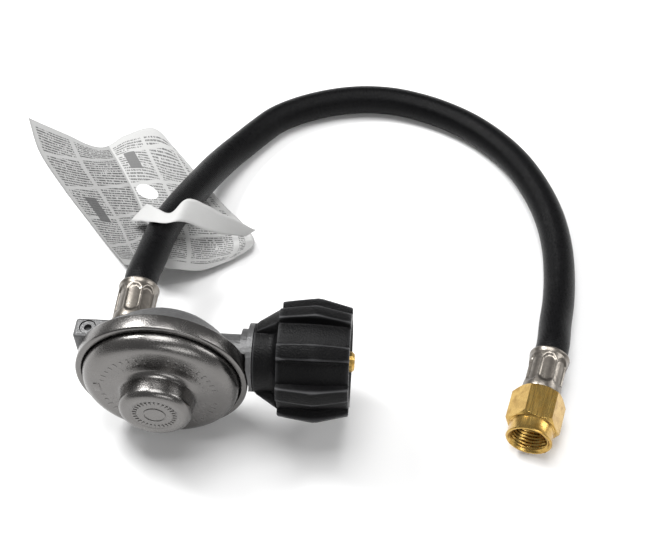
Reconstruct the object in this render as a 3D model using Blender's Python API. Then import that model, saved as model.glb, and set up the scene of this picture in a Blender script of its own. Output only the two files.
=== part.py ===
"""Low-pressure gas regulator with a hand-tightened inlet nut and a hose to a flare swivel nut.

Metres, +Z up.  The regulator stands on the edge of its round rim with the bonnet facing -Y, its
inlet runs along +X, and the hose leaves its back and loops over the floor to the flare nut.
"""
from dataclasses import dataclass
from math import cos, pi, radians, sin

import bmesh
import bpy
from mathutils import Euler, Matrix, Vector

MM = 0.001
GAP = 0.3 * MM                      # working clearance between pieces that rest on each other
WELD = 0.000002                     # distance under which coincident points are joined

# Rim, bonnet and casting.  Depths run along +Y from the middle of the rim
RIM_R = 34.8 * MM
RIM_LIFT = 0.05 * MM                # keeps the tilted rim's edge on the floor
RIM_HALF = 3.5 * MM
RIM_WALL = 1.0 * MM
RIM_LIP = 1.6 * MM
FLANGE_T = 1.5 * MM
DIAPHRAGM_T = 0.8 * MM
SHOULDER_RISE = 7.4 * MM
SHOULDER_CURVE = 5.6 * MM
BONNET_WALL = 1.6 * MM
BOSS_R = 14.6 * MM
BOSS_FRONT = 20.6 * MM
BOSS_EDGE = 1.6 * MM
BOWL_DEPTH = 18.0 * MM
BOWL_WALL = 2.4 * MM
BOWL_BACK_IN = 13.1 * MM            # how far the flat back lies inside the shoulder
BOSS_BLOCK = Vector((17.0, 9.0, 19.5)) * MM
BOSS_BLOCK_AT = Vector((-26.5, 8.6, 7.6)) * MM
PLUG_R = 3.1 * MM
PLUG_LEN = 7.5 * MM

# Regulator placement: the centre of the rim, and how the whole casting is turned
REG_CENTRE = Vector((-21.54 * MM, -11.40 * MM, RIM_R + RIM_LIFT))
REG_TURN = Euler((radians(-1.2), radians(-1.0), radians(-4.0)))

# Inlet: a line along +X, behind the rim
INLET_Y = 9.5 * MM
INLET_Z = 0.5 * MM
NECK_R = 9.2 * MM
NECK_STEP_R = 11.6 * MM
NECK_STEP_LEN = 3.0 * MM
INLET_FLANGE_R = 14.0 * MM
INLET_FLANGE_T = 2.2 * MM
INLET_PROUD = 1.8 * MM              # how far the inlet's face stands out past the rim
INLET_FACE_X = RIM_R + INLET_PROUD
ORIFICE_R = 3.4 * MM
ORIFICE_BORE = 1.2 * MM
ORIFICE_END_X = 22.0 * MM
NIPPLE_R = 6.0 * MM
NIPPLE_THREAD_R = 4.4 * MM
NIPPLE_BORE = 2.8 * MM
NIPPLE_SHOULDER_R = 11.0 * MM
NIPPLE_SHOULDER_LEN = 6.5 * MM
NOSE_R = 4.2 * MM
NOSE_OUT = 1.6 * MM
SEAL_WIDE = 1.7 * MM

# Handwheel: lengths run along +X from the face beside the casting
WHEEL_LEN = 38.8 * MM
WHEEL_COLLAR_R = 14.2 * MM
WHEEL_FRONT = 10.2 * MM
WHEEL_CREST = 25.2 * MM
SOCKET_R = 16.7 * MM
WHEEL_WALL = 4.9 * MM
WHEEL_BODY_R = SOCKET_R + WHEEL_WALL
WHEEL_TAPER = 1.0 * MM              # how much smaller the body is at its open end
RIB_FRONT_R = WHEEL_BODY_R + 1.6 * MM
RIB_CREST_R = WHEEL_BODY_R + 3.8 * MM
RIB_END_R = WHEEL_BODY_R + 0.4 * MM
RIB_COUNT = 8
RIB_CREST_HALF = radians(5.5)
RIB_ROOT_HALF = radians(11.5)
RIB_PHASE = radians(28.4)
WEB_RIBS = (2, 6)
WEB_END_R = WHEEL_BODY_R - 1.0 * MM
SOCKET_FLOOR = 14.0 * MM
WHEEL_FLOAT = 2.0 * MM
BUSHING_WALL = 2.6 * MM

# Valve works inside the casting
VALVE_TRAVEL = 1.2 * MM
STEM_R = 1.6 * MM
PLATE_R = 19.0 * MM
PLATE_T = 1.2 * MM
WASHER_R = 11.0 * MM
LEVER_X = -10.0 * MM
LEVER_Y = 5.7 * MM
LEVER_T = 1.0 * MM
LEVER_WIDE = 8.0 * MM
LEVER_EYE_R = 2.1 * MM
LUG_T = 1.8 * MM
PIN_R = 1.0 * MM
PIN_LEN = 15.0 * MM
SEAT_R = 3.0 * MM
SEAT_T = 1.5 * MM
SEAT_X = 5.0 * MM
ROD_R = 1.4 * MM
SPRING_WIRE = 0.7 * MM
SPRING_TURNS = 5
ADJUSTER_CLEAR = 2.0 * MM           # space round the threaded plug inside the spring tower
ADJUSTER_R = BOSS_R - BONNET_WALL - ADJUSTER_CLEAR
SPRING_R = ADJUSTER_R - 2.6 * MM
ADJUSTER_T = 2.6 * MM
POPPET_R = 1.9 * MM
POPPET_LEN = 7.0 * MM
POPPET_TRAVEL = 2.0 * MM

# Hose, ferrules and flare nut
HOSE_R = 7.15 * MM
HOSE_BORE = 4.0 * MM
OUTLET_X = -16.8 * MM
OUTLET_Z = 0.7 * MM
OUTLET_BOSS_R = 9.2 * MM
OUTLET_BOSS_OUT = 2.9 * MM
FERRULE_LEN = 21.4 * MM
FERRULE_WALL = 0.9 * MM
FERRULE_FIT = 0.35 * MM             # space between the hose and the ferrule's wall
FERRULE_R = HOSE_R + FERRULE_FIT + FERRULE_WALL
FERRULE_BELL = 0.3 * MM
CRIMP_COUNT = 8
CRIMP_DEPTH = 0.55 * MM
CRIMP_START = 4.0 * MM
CRIMP_END = 18.0 * MM
STEM_BORE = 2.4 * MM
NUT_FACE = Vector((127.9, -29.3, 11.1)) * MM
NUT_HEADING = radians(18.5)         # from +Y towards +X, looking from the mouth to the hose
NUT_ROLL = radians(-84.0)           # a flat of the hexagon leans 6 degrees off level
NUT_FLATS = 20.2 * MM
NUT_HEX_LEN = 15.6 * MM
NUT_LEN = 22.2 * MM
NUT_COLLAR_IN = 0.4 * MM            # how far the round collar lies inside the flats
NUT_COLLAR_R = NUT_FLATS / 2 - NUT_COLLAR_IN
NUT_WALL = 2.0 * MM
NUT_CHAMFER = 1.2 * MM
NUT_MOUTH_R = NUT_COLLAR_R - NUT_WALL
NUT_REAR_R = 5.6 * MM
NUT_REAR_T = 4.5 * MM
FLARE_CONE = 4.0 * MM

# Paper tag
TAG_T = 0.5 * MM
BAND_WIDE = 8.0 * MM
BAND_T = 0.5 * MM
BAND_CLEAR = 0.5 * MM
BAND_AT = 0.105                     # how far along the hose the band goes round it

# Hose route after the regulator's ferrule and before the nut's ferrule, chosen by hand
HOSE_ROUTE = [
    (-33.0, 47.1, 33.2), (-31.0, 60.1, 30.7), (-27.8, 76.8, 26.5), (-22.7, 92.5, 21.7),
    (-16.8, 108.1, 16.8), (-10.7, 123.1, 12.4), (-4.3, 135.1, 9.4), (2.2, 144.6, 7.8),
    (9.7, 154.1, 7.2), (19.4, 164.1, 7.2), (31.7, 171.3, 7.2), (47.2, 176.7, 7.2),
    (63.7, 179.2, 7.2), (81.2, 177.6, 7.2), (99.2, 171.1, 7.2), (115.2, 161.6, 7.2),
    (128.7, 149.1, 7.2), (140.2, 133.1, 7.2), (148.2, 114.1, 7.2), (152.8, 94.1, 7.2),
    (153.7, 74.1, 7.2), (151.8, 54.1, 7.4), (148.6, 38.1, 8.4), (145.2, 25.6, 9.8),
]
HOSE_LEAD = 7.0 * MM                # straight run at both ends
HOSE_POINTS = 34
ROUND = 48                          # facets round the large turned pieces

# Tag sheet: a net of points, rows from the far edge to the near edge.  Each height is that of a
# hose's centre line resting there, so the sheet itself lies lower by the hose's radius
TAG_NET = [
    [(-112.4, 172.1, 8.35), (-90.8, 155.1, 13.65), (-68.8, 139.1, 19.15), (-56.8, 146.6, 20.15),
     (-42.8, 151.1, 21.15), (-31.8, 143.1, 14.15)],
    [(-102.8, 147.1, 8.35), (-80.8, 133.1, 15.15), (-61.8, 125.1, 21.15), (-47.8, 129.1, 19.15),
     (-32.8, 129.1, 13.15), (-19.8, 129.1, 9.75)],
    [(-87.8, 123.1, 8.35), (-68.8, 113.1, 15.15), (-51.8, 105.1, 22.15), (-37.8, 108.1, 16.65),
     (-22.8, 110.1, 13.15), (-6.8, 110.1, 10.15)],
    [(-73.8, 103.1, 8.35), (-56.8, 93.1, 16.15), (-43.8, 86.1, 24.15), (-29.8, 87.1, 21.35),
     (-13.8, 91.1, 15.15), (6.2, 93.1, 11.15)],
    [(-59.8, 83.1, 9.65), (-48.8, 76.1, 17.15), (-37.8, 70.1, 26.15), (-25.8, 70.1, 24.55),
     (-9.8, 74.1, 16.15), (10.2, 82.1, 11.15)],
    [(-49.8, 69.1, 12.15), (-41.8, 65.1, 16.15), (-34.8, 61.1, 21.15), (-24.8, 60.1, 20.15),
     (-12.8, 65.1, 13.15), (0.2, 73.1, 11.15)],
]


@dataclass(frozen=True)
class Finish:
    """Colour, roughness and metallic value of one material."""

    name: str
    colour: tuple
    roughness: float
    metallic: float = 0.0

    def material(self):
        """Return the Principled material, made on first use."""
        found = bpy.data.materials.get(self.name)
        if found:
            return found
        made = bpy.data.materials.new(self.name)
        made.use_nodes = True
        shader = made.node_tree.nodes["Principled BSDF"]
        shader.inputs["Base Color"].default_value = (*self.colour, 1.0)
        shader.inputs["Roughness"].default_value = self.roughness
        shader.inputs["Metallic"].default_value = self.metallic
        made.diffuse_color = (*self.colour, 1.0)
        return made


def finish_of(part, colour, roughness, metallic=0.0):
    """Return a finish named after the part that wears it."""
    return Finish(f"{part}_finish", colour, roughness, metallic)


ZINC = ((0.52, 0.53, 0.54), 0.38, 0.9)
STEEL = ((0.55, 0.54, 0.52), 0.3, 1.0)
SPRING_STEEL = ((0.4, 0.4, 0.41), 0.3, 1.0)
BRASS = ((0.72, 0.52, 0.2), 0.28, 1.0)
BLACK_PLASTIC = ((0.02, 0.02, 0.022), 0.55, 0.0)
BLACK_RUBBER = ((0.014, 0.014, 0.015), 0.5, 0.0)
GREEN_PLASTIC = ((0.05, 0.16, 0.1), 0.45, 0.0)
PAPER = ((0.82, 0.82, 0.81), 0.85, 0.0)


def clear_scene():
    """Remove every object of the opening scene."""
    for obj in list(bpy.data.objects):
        bpy.data.objects.remove(obj, do_unlink=True)


def add_object(name, data, finish, parent=None, location=(0, 0, 0), rotation=(0, 0, 0)):
    """Link an object with its own material, placed under its parent."""
    obj = bpy.data.objects.new(name, data)
    bpy.context.collection.objects.link(obj)
    obj.data.materials.append(finish_of(name, *finish).material())
    obj.parent = parent
    obj.location = location
    obj.rotation_euler = rotation
    return obj


def add_empty(name, parent=None, location=(0, 0, 0), rotation=(0, 0, 0)):
    """Link an empty that places what is parented to it."""
    empty = bpy.data.objects.new(name, None)
    bpy.context.collection.objects.link(empty)
    empty.parent = parent
    empty.location = location
    empty.rotation_euler = rotation
    return empty


def mesh_from(name, bm, sharp=radians(30)):
    """Turn a bmesh into a mesh with outward faces and smooth shading under the sharp angle."""
    bmesh.ops.remove_doubles(bm, verts=bm.verts, dist=WELD)
    bmesh.ops.recalc_face_normals(bm, faces=bm.faces)
    mesh = bpy.data.meshes.new(name)
    bm.to_mesh(mesh)
    bm.free()
    mesh.shade_smooth()
    mesh.set_sharp_from_angle(angle=sharp)
    return mesh


def turned_mesh(name, outline, segments=32):
    """Spin an outline of (along, radius) points round local Z.

    An outline whose two ends lie on the axis is left open there; any other is closed.
    """
    bm = bmesh.new()
    verts = [bm.verts.new((radius, 0.0, along)) for along, radius in outline]
    pairs = list(zip(verts, verts[1:]))
    if outline[0][1] > 0.0 or outline[-1][1] > 0.0:
        pairs.append((verts[-1], verts[0]))
    edges = [bm.edges.new(pair) for pair in pairs]
    bmesh.ops.spin(bm, geom=verts + edges, cent=(0, 0, 0), axis=(0, 0, 1), angle=2 * pi,
                   steps=segments, use_duplicate=False)
    bmesh.ops.remove_doubles(bm, verts=bm.verts, dist=WELD)
    poles = [vert for vert in bm.verts if vert.co.xy.length < WELD]
    bmesh.ops.dissolve_verts(bm, verts=poles)
    return mesh_from(name, bm)


def lofted_mesh(name, rings, angles, sharp=radians(25)):
    """Join rings of points into a closed sleeve.

    Each ring is (along, radius), where the radius is a number or a function of the angle.
    """
    bm = bmesh.new()
    loops = []
    for along, radius in rings:
        sizes = [radius(angle) if callable(radius) else radius for angle in angles]
        loops.append([bm.verts.new((size * cos(angle), size * sin(angle), along))
                      for size, angle in zip(sizes, angles)])
    for loop, following in zip(loops, loops[1:] + loops[:1]):
        for index in range(len(angles)):
            beside = (index + 1) % len(angles)
            bm.faces.new((loop[index], loop[beside], following[beside], following[index]))
    return mesh_from(name, bm, sharp)


def spin_about(axis):
    """Return the rotation that lays local Z along a main axis."""
    turns = {"+X": (0, pi / 2, 0), "+Y": (-pi / 2, 0, 0), "-Y": (pi / 2, 0, 0), "+Z": (0, 0, 0)}
    return turns[axis]


def tube(inner, outer, start, end):
    """Return the outline of a plain tube."""
    return [(start, inner), (start, outer), (end, outer), (end, inner)]


def rod(radius, start, end):
    """Return the outline of a plain rod."""
    return [(start, 0.0), (start, radius), (end, radius), (end, 0.0)]


def arc(centre, radius, start, end, count):
    """Return points (along, radius) on an arc, from one angle to another."""
    along, out = centre
    angles = [start + (end - start) * step / count for step in range(count + 1)]
    return [(along + radius * sin(angle), out + radius * cos(angle)) for angle in angles]


def boolean(target, cutter, operation):
    """Apply an exact boolean to the target and remove the cutter."""
    modifier = target.modifiers.new(operation.lower(), "BOOLEAN")
    modifier.object = cutter
    modifier.operation = operation
    modifier.solver = "EXACT"
    cutter.hide_render = True
    cutter.display_type = "WIRE"
    bpy.context.view_layer.update()
    graph = bpy.context.evaluated_depsgraph_get()
    result = bpy.data.meshes.new_from_object(target.evaluated_get(graph))
    target.modifiers.clear()
    old = target.data
    target.data = result
    bpy.data.meshes.remove(old)
    bpy.data.objects.remove(cutter, do_unlink=True)


def add_tool(outline, parent, location, rotation, segments=32):
    """Link a turned solid that is only used to join or cut."""
    mesh = turned_mesh("tool", outline, segments)
    obj = bpy.data.objects.new("tool", mesh)
    bpy.context.collection.objects.link(obj)
    obj.parent = parent
    obj.location = location
    obj.rotation_euler = rotation
    return obj


def tidy(obj):
    """Weld and re-shade a mesh after its booleans."""
    bm = bmesh.new()
    bm.from_mesh(obj.data)
    bmesh.ops.dissolve_degenerate(bm, dist=WELD, edges=bm.edges)
    bmesh.ops.remove_doubles(bm, verts=bm.verts, dist=WELD)
    bmesh.ops.triangulate(bm, faces=[face for face in bm.faces if len(face.verts) > 4])
    bm.to_mesh(obj.data)
    bm.free()
    obj.data.shade_smooth()
    obj.data.set_sharp_from_angle(angle=radians(30))


def clamp_half():
    """Return the distance from the rim's middle to the face of a clamped flange."""
    return DIAPHRAGM_T / 2 + GAP


def clamp_outer():
    """Return the radius of everything clamped inside the rim ring."""
    return RIM_R - RIM_WALL - GAP


def shoulder_r():
    """Return the radius of the bonnet and the casting where they pass through the rim's lips."""
    return RIM_R - RIM_WALL - RIM_LIP - 2 * GAP


def throat_r():
    """Return the radius of the clear bore inside the clamped flanges."""
    return shoulder_r() - BONNET_WALL


def bowl_back_r():
    """Return the radius of the bowl's flat back."""
    return shoulder_r() - BOWL_BACK_IN


def wheel_x():
    """Return the place of the handwheel's casting-side face along the inlet."""
    return INLET_FACE_X + GAP


def seat_shift():
    """Return how far the seat moves while the diaphragm makes its whole travel."""
    return VALVE_TRAVEL * (INLET_Y - LEVER_Y) / -LEVER_X


def outlet_face_y():
    """Return the depth of the outlet boss's face."""
    return BOWL_DEPTH + OUTLET_BOSS_OUT


def build_rim(frame):
    """Rolled ring of channel section that clamps the two flanges."""
    inner = RIM_R - RIM_WALL
    lip = RIM_R - RIM_WALL - RIM_LIP
    reach = clamp_half() + FLANGE_T + GAP
    edge = 0.7 * MM
    outline = [(-RIM_HALF, lip), (-RIM_HALF, RIM_R - edge), (edge - RIM_HALF, RIM_R),
               (RIM_HALF - edge, RIM_R), (RIM_HALF, RIM_R - edge), (RIM_HALF, lip),
               (reach, lip), (reach, inner), (-reach, inner), (-reach, lip)]
    add_object("rim_ring", turned_mesh("rim_ring", outline, ROUND), ZINC, frame,
               rotation=spin_about("+Y"))


def bonnet_profile(offset):
    """Return the bonnet's outer line, drawn in by an offset, from the flange to the axis."""
    start = clamp_half() + FLANGE_T
    side = shoulder_r() - offset
    curve_r = SHOULDER_CURVE - offset * 0.4
    flat = start + SHOULDER_RISE - offset
    turn = [(start, side)] + arc((flat - curve_r, side - curve_r), curve_r, 0.0, pi / 2, 4)
    boss = BOSS_R - offset
    front = BOSS_FRONT - offset
    edge = BOSS_EDGE
    neck = [(flat + 0.5 * MM, boss + 1.4 * MM), (flat + 1.9 * MM, boss + 0.2 * MM)]
    crown = [(front - edge, boss), (front - 0.3 * edge, boss - 0.3 * edge), (front, boss - edge)]
    return turn + neck + crown + [(front, 0.0)]


def build_bonnet(frame):
    """Domed cover with a round spring tower, open towards the diaphragm."""
    near = clamp_half()
    outer = clamp_outer()
    outline = [(near, throat_r()), (near, outer), (near + FLANGE_T, outer)]
    outline = outline + bonnet_profile(0.0) + bonnet_profile(BONNET_WALL)[:0:-1]
    add_object("bonnet", turned_bowl("bonnet", outline, ROUND), ZINC, frame,
               rotation=spin_about("-Y"))


def turned_bowl(name, outline, segments):
    """Spin a bowl whose outline crosses the axis twice, leaving both walls closed."""
    split = [index for index, point in enumerate(outline) if point[1] == 0.0]
    ordered = outline[split[1]:] + outline[:split[0] + 1]
    return turned_mesh(name, ordered, segments)


def casting_outline():
    """Return the bowl's outline, from the axis outside round to the axis inside."""
    near = clamp_half()
    side = shoulder_r()
    curve = BOWL_DEPTH - 7.0 * MM
    floor = BOWL_DEPTH - BOWL_WALL
    outer = [(BOWL_DEPTH, 0.0), (BOWL_DEPTH, bowl_back_r()),
             (BOWL_DEPTH - 1.2 * MM, bowl_back_r() + 3.0 * MM), (curve + 2.0 * MM, side - 6.1 * MM),
             (curve - 3.0 * MM, side - 3.6 * MM), (near + FLANGE_T + 1.4 * MM, side),
             (near + FLANGE_T, side)]
    flange = [(near + FLANGE_T, clamp_outer()), (near, clamp_outer()), (near, throat_r())]
    inner = [(curve - 3.0 * MM, side - 6.0 * MM), (curve + 1.4 * MM, side - 8.8 * MM),
             (floor, bowl_back_r() - 0.5 * MM), (floor, 0.0)]
    return outer + flange + inner


def build_casting(frame):
    """Bowl-shaped casting with its inlet neck, outlet boss and side block."""
    casting = add_object("body_casting", turned_mesh("body_casting", casting_outline(), ROUND), ZINC,
                         frame, rotation=spin_about("+Y"))
    inlet = Vector((0, INLET_Y, INLET_Z))
    flange_x = INLET_FACE_X - INLET_FLANGE_T
    neck = [(12.0 * MM, 0.0), (12.0 * MM, ORIFICE_R + 2.4 * MM), (20.0 * MM, ORIFICE_R + 2.4 * MM),
            (20.0 * MM, NECK_R), (flange_x - NECK_STEP_LEN, NECK_R),
            (flange_x - NECK_STEP_LEN, NECK_STEP_R), (flange_x, NECK_STEP_R),
            (flange_x, INLET_FLANGE_R), (INLET_FACE_X, INLET_FLANGE_R), (INLET_FACE_X, 0.0)]
    arm = add_tool(neck, frame, inlet, spin_about("+X"), 40)
    scallop = rod(RIM_R + 2 * GAP, -20.0 * MM, RIM_HALF + GAP)
    boolean(arm, add_tool(scallop, frame, (0, 0, 0), spin_about("+Y"), ROUND), "DIFFERENCE")
    boolean(casting, arm, "UNION")
    block = bpy.data.objects.new("tool", block_mesh(BOSS_BLOCK, 1.2 * MM))
    bpy.context.collection.objects.link(block)
    block.parent = frame
    block.location = BOSS_BLOCK_AT
    hollow = rod(bowl_back_r(), 0.0, BOWL_DEPTH - BOWL_WALL / 2)
    boolean(block, add_tool(hollow, frame, (0, 0, 0), spin_about("+Y"), 40), "DIFFERENCE")
    boolean(casting, block, "UNION")
    outlet = Vector((OUTLET_X, 0, OUTLET_Z))
    boss = add_tool(rod(OUTLET_BOSS_R, BOWL_DEPTH / 2, outlet_face_y()), frame, outlet,
                    spin_about("+Y"), 36)
    boolean(boss, add_tool(hollow, frame, (0, 0, 0), spin_about("+Y"), 40), "DIFFERENCE")
    boolean(casting, boss, "UNION")
    for side in (-1, 1):
        boolean(casting, add_lug(frame, side), "UNION")
    bores = [
        (rod(ORIFICE_R + GAP, 6.0 * MM, 26.0 * MM), inlet, "+X"),
        (rod(NIPPLE_THREAD_R + GAP, ORIFICE_END_X + GAP, 50.0 * MM), inlet, "+X"),
        (rod(HOSE_BORE + GAP, 12.0 * MM, 30.0 * MM), outlet, "+Y"),
        (rod(PLUG_R + GAP, BOSS_BLOCK_AT.z, 40.0 * MM), plug_place(), "+Z"),
        (rod(PIN_R + GAP, -PIN_LEN, PIN_LEN), pin_place(), "+Z"),
    ]
    for outline, place, axis in bores:
        boolean(casting, add_tool(outline, frame, place, spin_about(axis), 24), "DIFFERENCE")
    tidy(casting)


def plug_place():
    """Return the foot of the line on which the side block's plug stands."""
    return Vector((BOSS_BLOCK_AT.x - 3.0 * MM, BOSS_BLOCK_AT.y, 0))


def pin_place():
    """Return the middle of the lever's pin."""
    return Vector((LEVER_X, LEVER_Y, INLET_Z))


def add_lug(frame, side):
    """Link one of the two ears that hold the lever's pin."""
    height = BOWL_DEPTH - BOWL_WALL / 2 - LEVER_Y + 2.4 * MM
    offset = side * (LEVER_WIDE / 2 + 1.0 * MM + LUG_T / 2)
    lug = bpy.data.objects.new("tool", block_mesh(Vector((5.6 * MM, height, LUG_T)), 0.3 * MM))
    bpy.context.collection.objects.link(lug)
    lug.parent = frame
    lug.location = (LEVER_X, BOWL_DEPTH - BOWL_WALL / 2 - height / 2, INLET_Z + offset)
    return lug


def block_mesh(size, edge):
    """Return a box with bevelled edges."""
    bm = bmesh.new()
    bmesh.ops.create_cube(bm, size=1.0, matrix=Matrix.Diagonal((*size, 1.0)))
    bmesh.ops.bevel(bm, geom=bm.edges[:], offset=edge, segments=2, affect="EDGES", profile=0.5)
    return mesh_from("block", bm)


def build_diaphragm(frame):
    """Rubber diaphragm, its two plates and the stem that works the lever."""
    hole = STEM_R + GAP
    half = DIAPHRAGM_T / 2
    front = half + GAP + PLATE_T
    add_object("diaphragm", turned_mesh("diaphragm", tube(hole, clamp_outer() - GAP, -half, half),
                                        48), BLACK_RUBBER, frame, rotation=spin_about("+Y"))
    plate = tube(hole, PLATE_R, -front, -half - GAP)
    add_object("diaphragm_plate", turned_mesh("diaphragm_plate", plate, 40), STEEL, frame,
               rotation=spin_about("+Y"))
    washer = tube(hole, WASHER_R, half + GAP, half + GAP + 1.0 * MM)
    add_object("diaphragm_washer", turned_mesh("diaphragm_washer", washer, 32), STEEL, frame,
               rotation=spin_about("+Y"))
    hook = LEVER_Y + LEVER_T / 2 + 0.6 * MM
    stem = [(-front - GAP - 1.2 * MM, 0.0), (-front - GAP - 1.2 * MM, 3.4 * MM),
            (-front - GAP, 4.0 * MM), (-front - GAP, STEM_R), (hook, STEM_R),
            (hook, STEM_R + 1.0 * MM), (hook + 1.0 * MM, STEM_R + 1.0 * MM), (hook + 1.0 * MM, 0.0)]
    add_object("diaphragm_stem", turned_mesh("diaphragm_stem", stem, 20), BRASS, frame,
               rotation=spin_about("+Y"))


def coil_curve(name, radius, wire, start, end, turns, per_turn=12):
    """Return a helical wire along local Z as a curve with filled ends."""
    curve = bpy.data.curves.new(name, "CURVE")
    curve.dimensions = "3D"
    curve.bevel_depth = wire
    curve.bevel_resolution = 1
    curve.use_fill_caps = True
    count = turns * per_turn + 1
    spline = curve.splines.new("POLY")
    spline.points.add(count - 1)
    for index in range(count):
        angle = 2 * pi * index / per_turn
        along = start + (end - start) * index / (count - 1)
        spline.points[index].co = (radius * cos(angle), radius * sin(angle), along, 1.0)
    return curve


def build_main_spring(frame):
    """Main spring and the threaded plug that loads it."""
    foot = DIAPHRAGM_T / 2 + GAP + PLATE_T + GAP + SPRING_WIRE
    plug_end = BOSS_FRONT - BONNET_WALL - GAP
    head = plug_end - ADJUSTER_T - GAP - SPRING_WIRE
    add_object("main_spring", coil_curve("main_spring", SPRING_R, SPRING_WIRE, foot, head,
                                         SPRING_TURNS), SPRING_STEEL, frame,
               rotation=spin_about("-Y"))
    plug = [(plug_end - ADJUSTER_T, 0.0), (plug_end - ADJUSTER_T, ADJUSTER_R),
            (plug_end - 0.5 * MM, ADJUSTER_R), (plug_end, ADJUSTER_R - 0.5 * MM),
            (plug_end, 3.0 * MM), (plug_end - 1.4 * MM, 3.0 * MM), (plug_end - 1.4 * MM, 0.0)]
    add_object("adjuster_plug", turned_mesh("adjuster_plug", plug, 32), ZINC, frame,
               rotation=spin_about("-Y"))


def build_lever(frame):
    """Pin and the bent lever that swings on it."""
    place = pin_place()
    pin = rod(PIN_R, -PIN_LEN / 2, PIN_LEN / 2)
    add_object("lever_pin", turned_mesh("lever_pin", pin, 16), STEEL, frame, location=place)
    eye = turned_mesh("lever", rod(LEVER_EYE_R, -LEVER_WIDE / 2, LEVER_WIDE / 2), 24)
    lever = add_object("lever", eye, STEEL, frame, location=place)
    reach = STEM_R + 2.0 * MM - LEVER_X
    drop = INLET_Y + ROD_R + 0.4 * MM - LEVER_Y
    arms = [(Vector((reach, LEVER_T, LEVER_WIDE)), Vector((reach / 2, 0, 0))),
            (Vector((LEVER_T, drop, LEVER_WIDE / 2)), Vector((0, drop / 2, 0)))]
    for size, centre in arms:
        arm = bpy.data.objects.new("tool", block_mesh(size, 0.15 * MM))
        bpy.context.collection.objects.link(arm)
        arm.parent = frame
        arm.location = place + centre
        boolean(lever, arm, "UNION")
    boolean(lever, add_tool(rod(PIN_R + GAP, -LEVER_WIDE, LEVER_WIDE), frame, place,
                            spin_about("+Z"), 20), "DIFFERENCE")
    boolean(lever, add_tool(rod(STEM_R + 0.5 * MM, 0.0, 2 * LEVER_Y), frame, (0, 0, 0),
                            spin_about("+Y"), 20), "DIFFERENCE")
    tidy(lever)


def build_valve(frame):
    """Sliding seat rod with its rubber seat, and the fixed inlet orifice."""
    inlet = Vector((0, INLET_Y, INLET_Z))
    seat = [(LEVER_X + LEVER_T / 2 + GAP, 0.0), (LEVER_X + LEVER_T / 2 + GAP, ROD_R),
            (SEAT_X - 1.5 * MM, ROD_R), (SEAT_X - 1.5 * MM, SEAT_R), (SEAT_X, SEAT_R), (SEAT_X, 0.0)]
    add_object("seat_rod", turned_mesh("seat_rod", seat, 20), BRASS, frame, inlet,
               spin_about("+X"))
    face = SEAT_X + GAP + SEAT_T
    disc = rod(SEAT_R, SEAT_X + GAP, face)
    add_object("seat_disc", turned_mesh("seat_disc", disc, 20), BLACK_RUBBER, frame, inlet,
               spin_about("+X"))
    tip = face + seat_shift() + GAP
    orifice = [(tip, ORIFICE_BORE), (tip, ORIFICE_BORE + 0.6 * MM), (tip + 1.2 * MM, ORIFICE_R),
               (ORIFICE_END_X, ORIFICE_R), (ORIFICE_END_X, ORIFICE_BORE)]
    add_object("inlet_orifice", turned_mesh("inlet_orifice", orifice, 24), BRASS, frame, inlet,
               spin_about("+X"))


def build_port_plug(frame):
    """Socket plug in the casting's side block."""
    top = BOSS_BLOCK_AT.z + BOSS_BLOCK.z / 2 - 0.4 * MM
    foot = top - PLUG_LEN
    outline = [(foot, 0.0), (foot, PLUG_R), (top, PLUG_R), (top, PLUG_R / 2),
               (top - 2.0 * MM, PLUG_R / 2), (top - 2.0 * MM, 0.0)]
    add_object("port_plug", turned_mesh("port_plug", outline, 20), STEEL, frame, plug_place())


def nipple_shoulder():
    """Return where the nipple's shoulder starts, clear of the handwheel at its outer stop."""
    return wheel_x() + SOCKET_FLOOR + WHEEL_FLOAT + 2 * GAP


def nose_tip():
    """Return the place of the nipple's tip along the inlet."""
    return wheel_x() + WHEEL_LEN + NOSE_OUT


def seal_place():
    """Return where the nose seal starts along the inlet."""
    return nipple_shoulder() + NIPPLE_SHOULDER_LEN + 7.4 * MM


def build_nipple(frame):
    """Brass inlet nipple with its round nose, nose seal and check poppet."""
    inlet = Vector((0, INLET_Y, INLET_Z))
    start = ORIFICE_END_X + 2 * GAP
    shoulder = nipple_shoulder()
    cone = shoulder + NIPPLE_SHOULDER_LEN
    stop = shoulder + 1.0 * MM
    tip = nose_tip()
    land = NOSE_R + 1.6 * MM
    outline = [(start, NIPPLE_BORE / 2), (start, NIPPLE_THREAD_R),
               (wheel_x(), NIPPLE_THREAD_R), (wheel_x(), NIPPLE_R), (shoulder, NIPPLE_R),
               (shoulder, NIPPLE_SHOULDER_R), (cone, NIPPLE_SHOULDER_R), (cone + 3.0 * MM, land),
               (seal_place() - GAP, land), (seal_place() - GAP, NOSE_R), (tip - 1.0 * MM, NOSE_R),
               (tip, NOSE_R - 0.9 * MM), (tip, NIPPLE_BORE), (stop, NIPPLE_BORE),
               (stop, NIPPLE_BORE / 2)]
    add_object("inlet_nipple", turned_mesh("inlet_nipple", outline, 32), BRASS, frame, inlet,
               spin_about("+X"))
    middle = (seal_place() + SEAL_WIDE / 2, NOSE_R + GAP + SEAL_WIDE / 2)
    seal = arc(middle, SEAL_WIDE / 2, 0.0, 2 * pi, 6)[:-1]
    add_object("nose_seal", turned_mesh("nose_seal", seal, 24), BLACK_RUBBER, frame, inlet,
               spin_about("+X"))
    head = tip - 1.0 * MM
    foot = head - POPPET_LEN
    poppet = [(foot, 0.0), (foot, POPPET_R), (head - 1.5 * MM, POPPET_R), (head, POPPET_R / 2),
              (head, 0.0)]
    add_object("check_poppet", turned_mesh("check_poppet", poppet, 16), BRASS, frame, inlet,
               spin_about("+X"))
    wire = 0.25 * MM
    add_object("poppet_spring", coil_curve("poppet_spring", POPPET_R - wire, wire,
                                           stop + GAP + wire, foot - GAP - wire, 6, 8),
               SPRING_STEEL, frame, inlet, spin_about("+X"))


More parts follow.
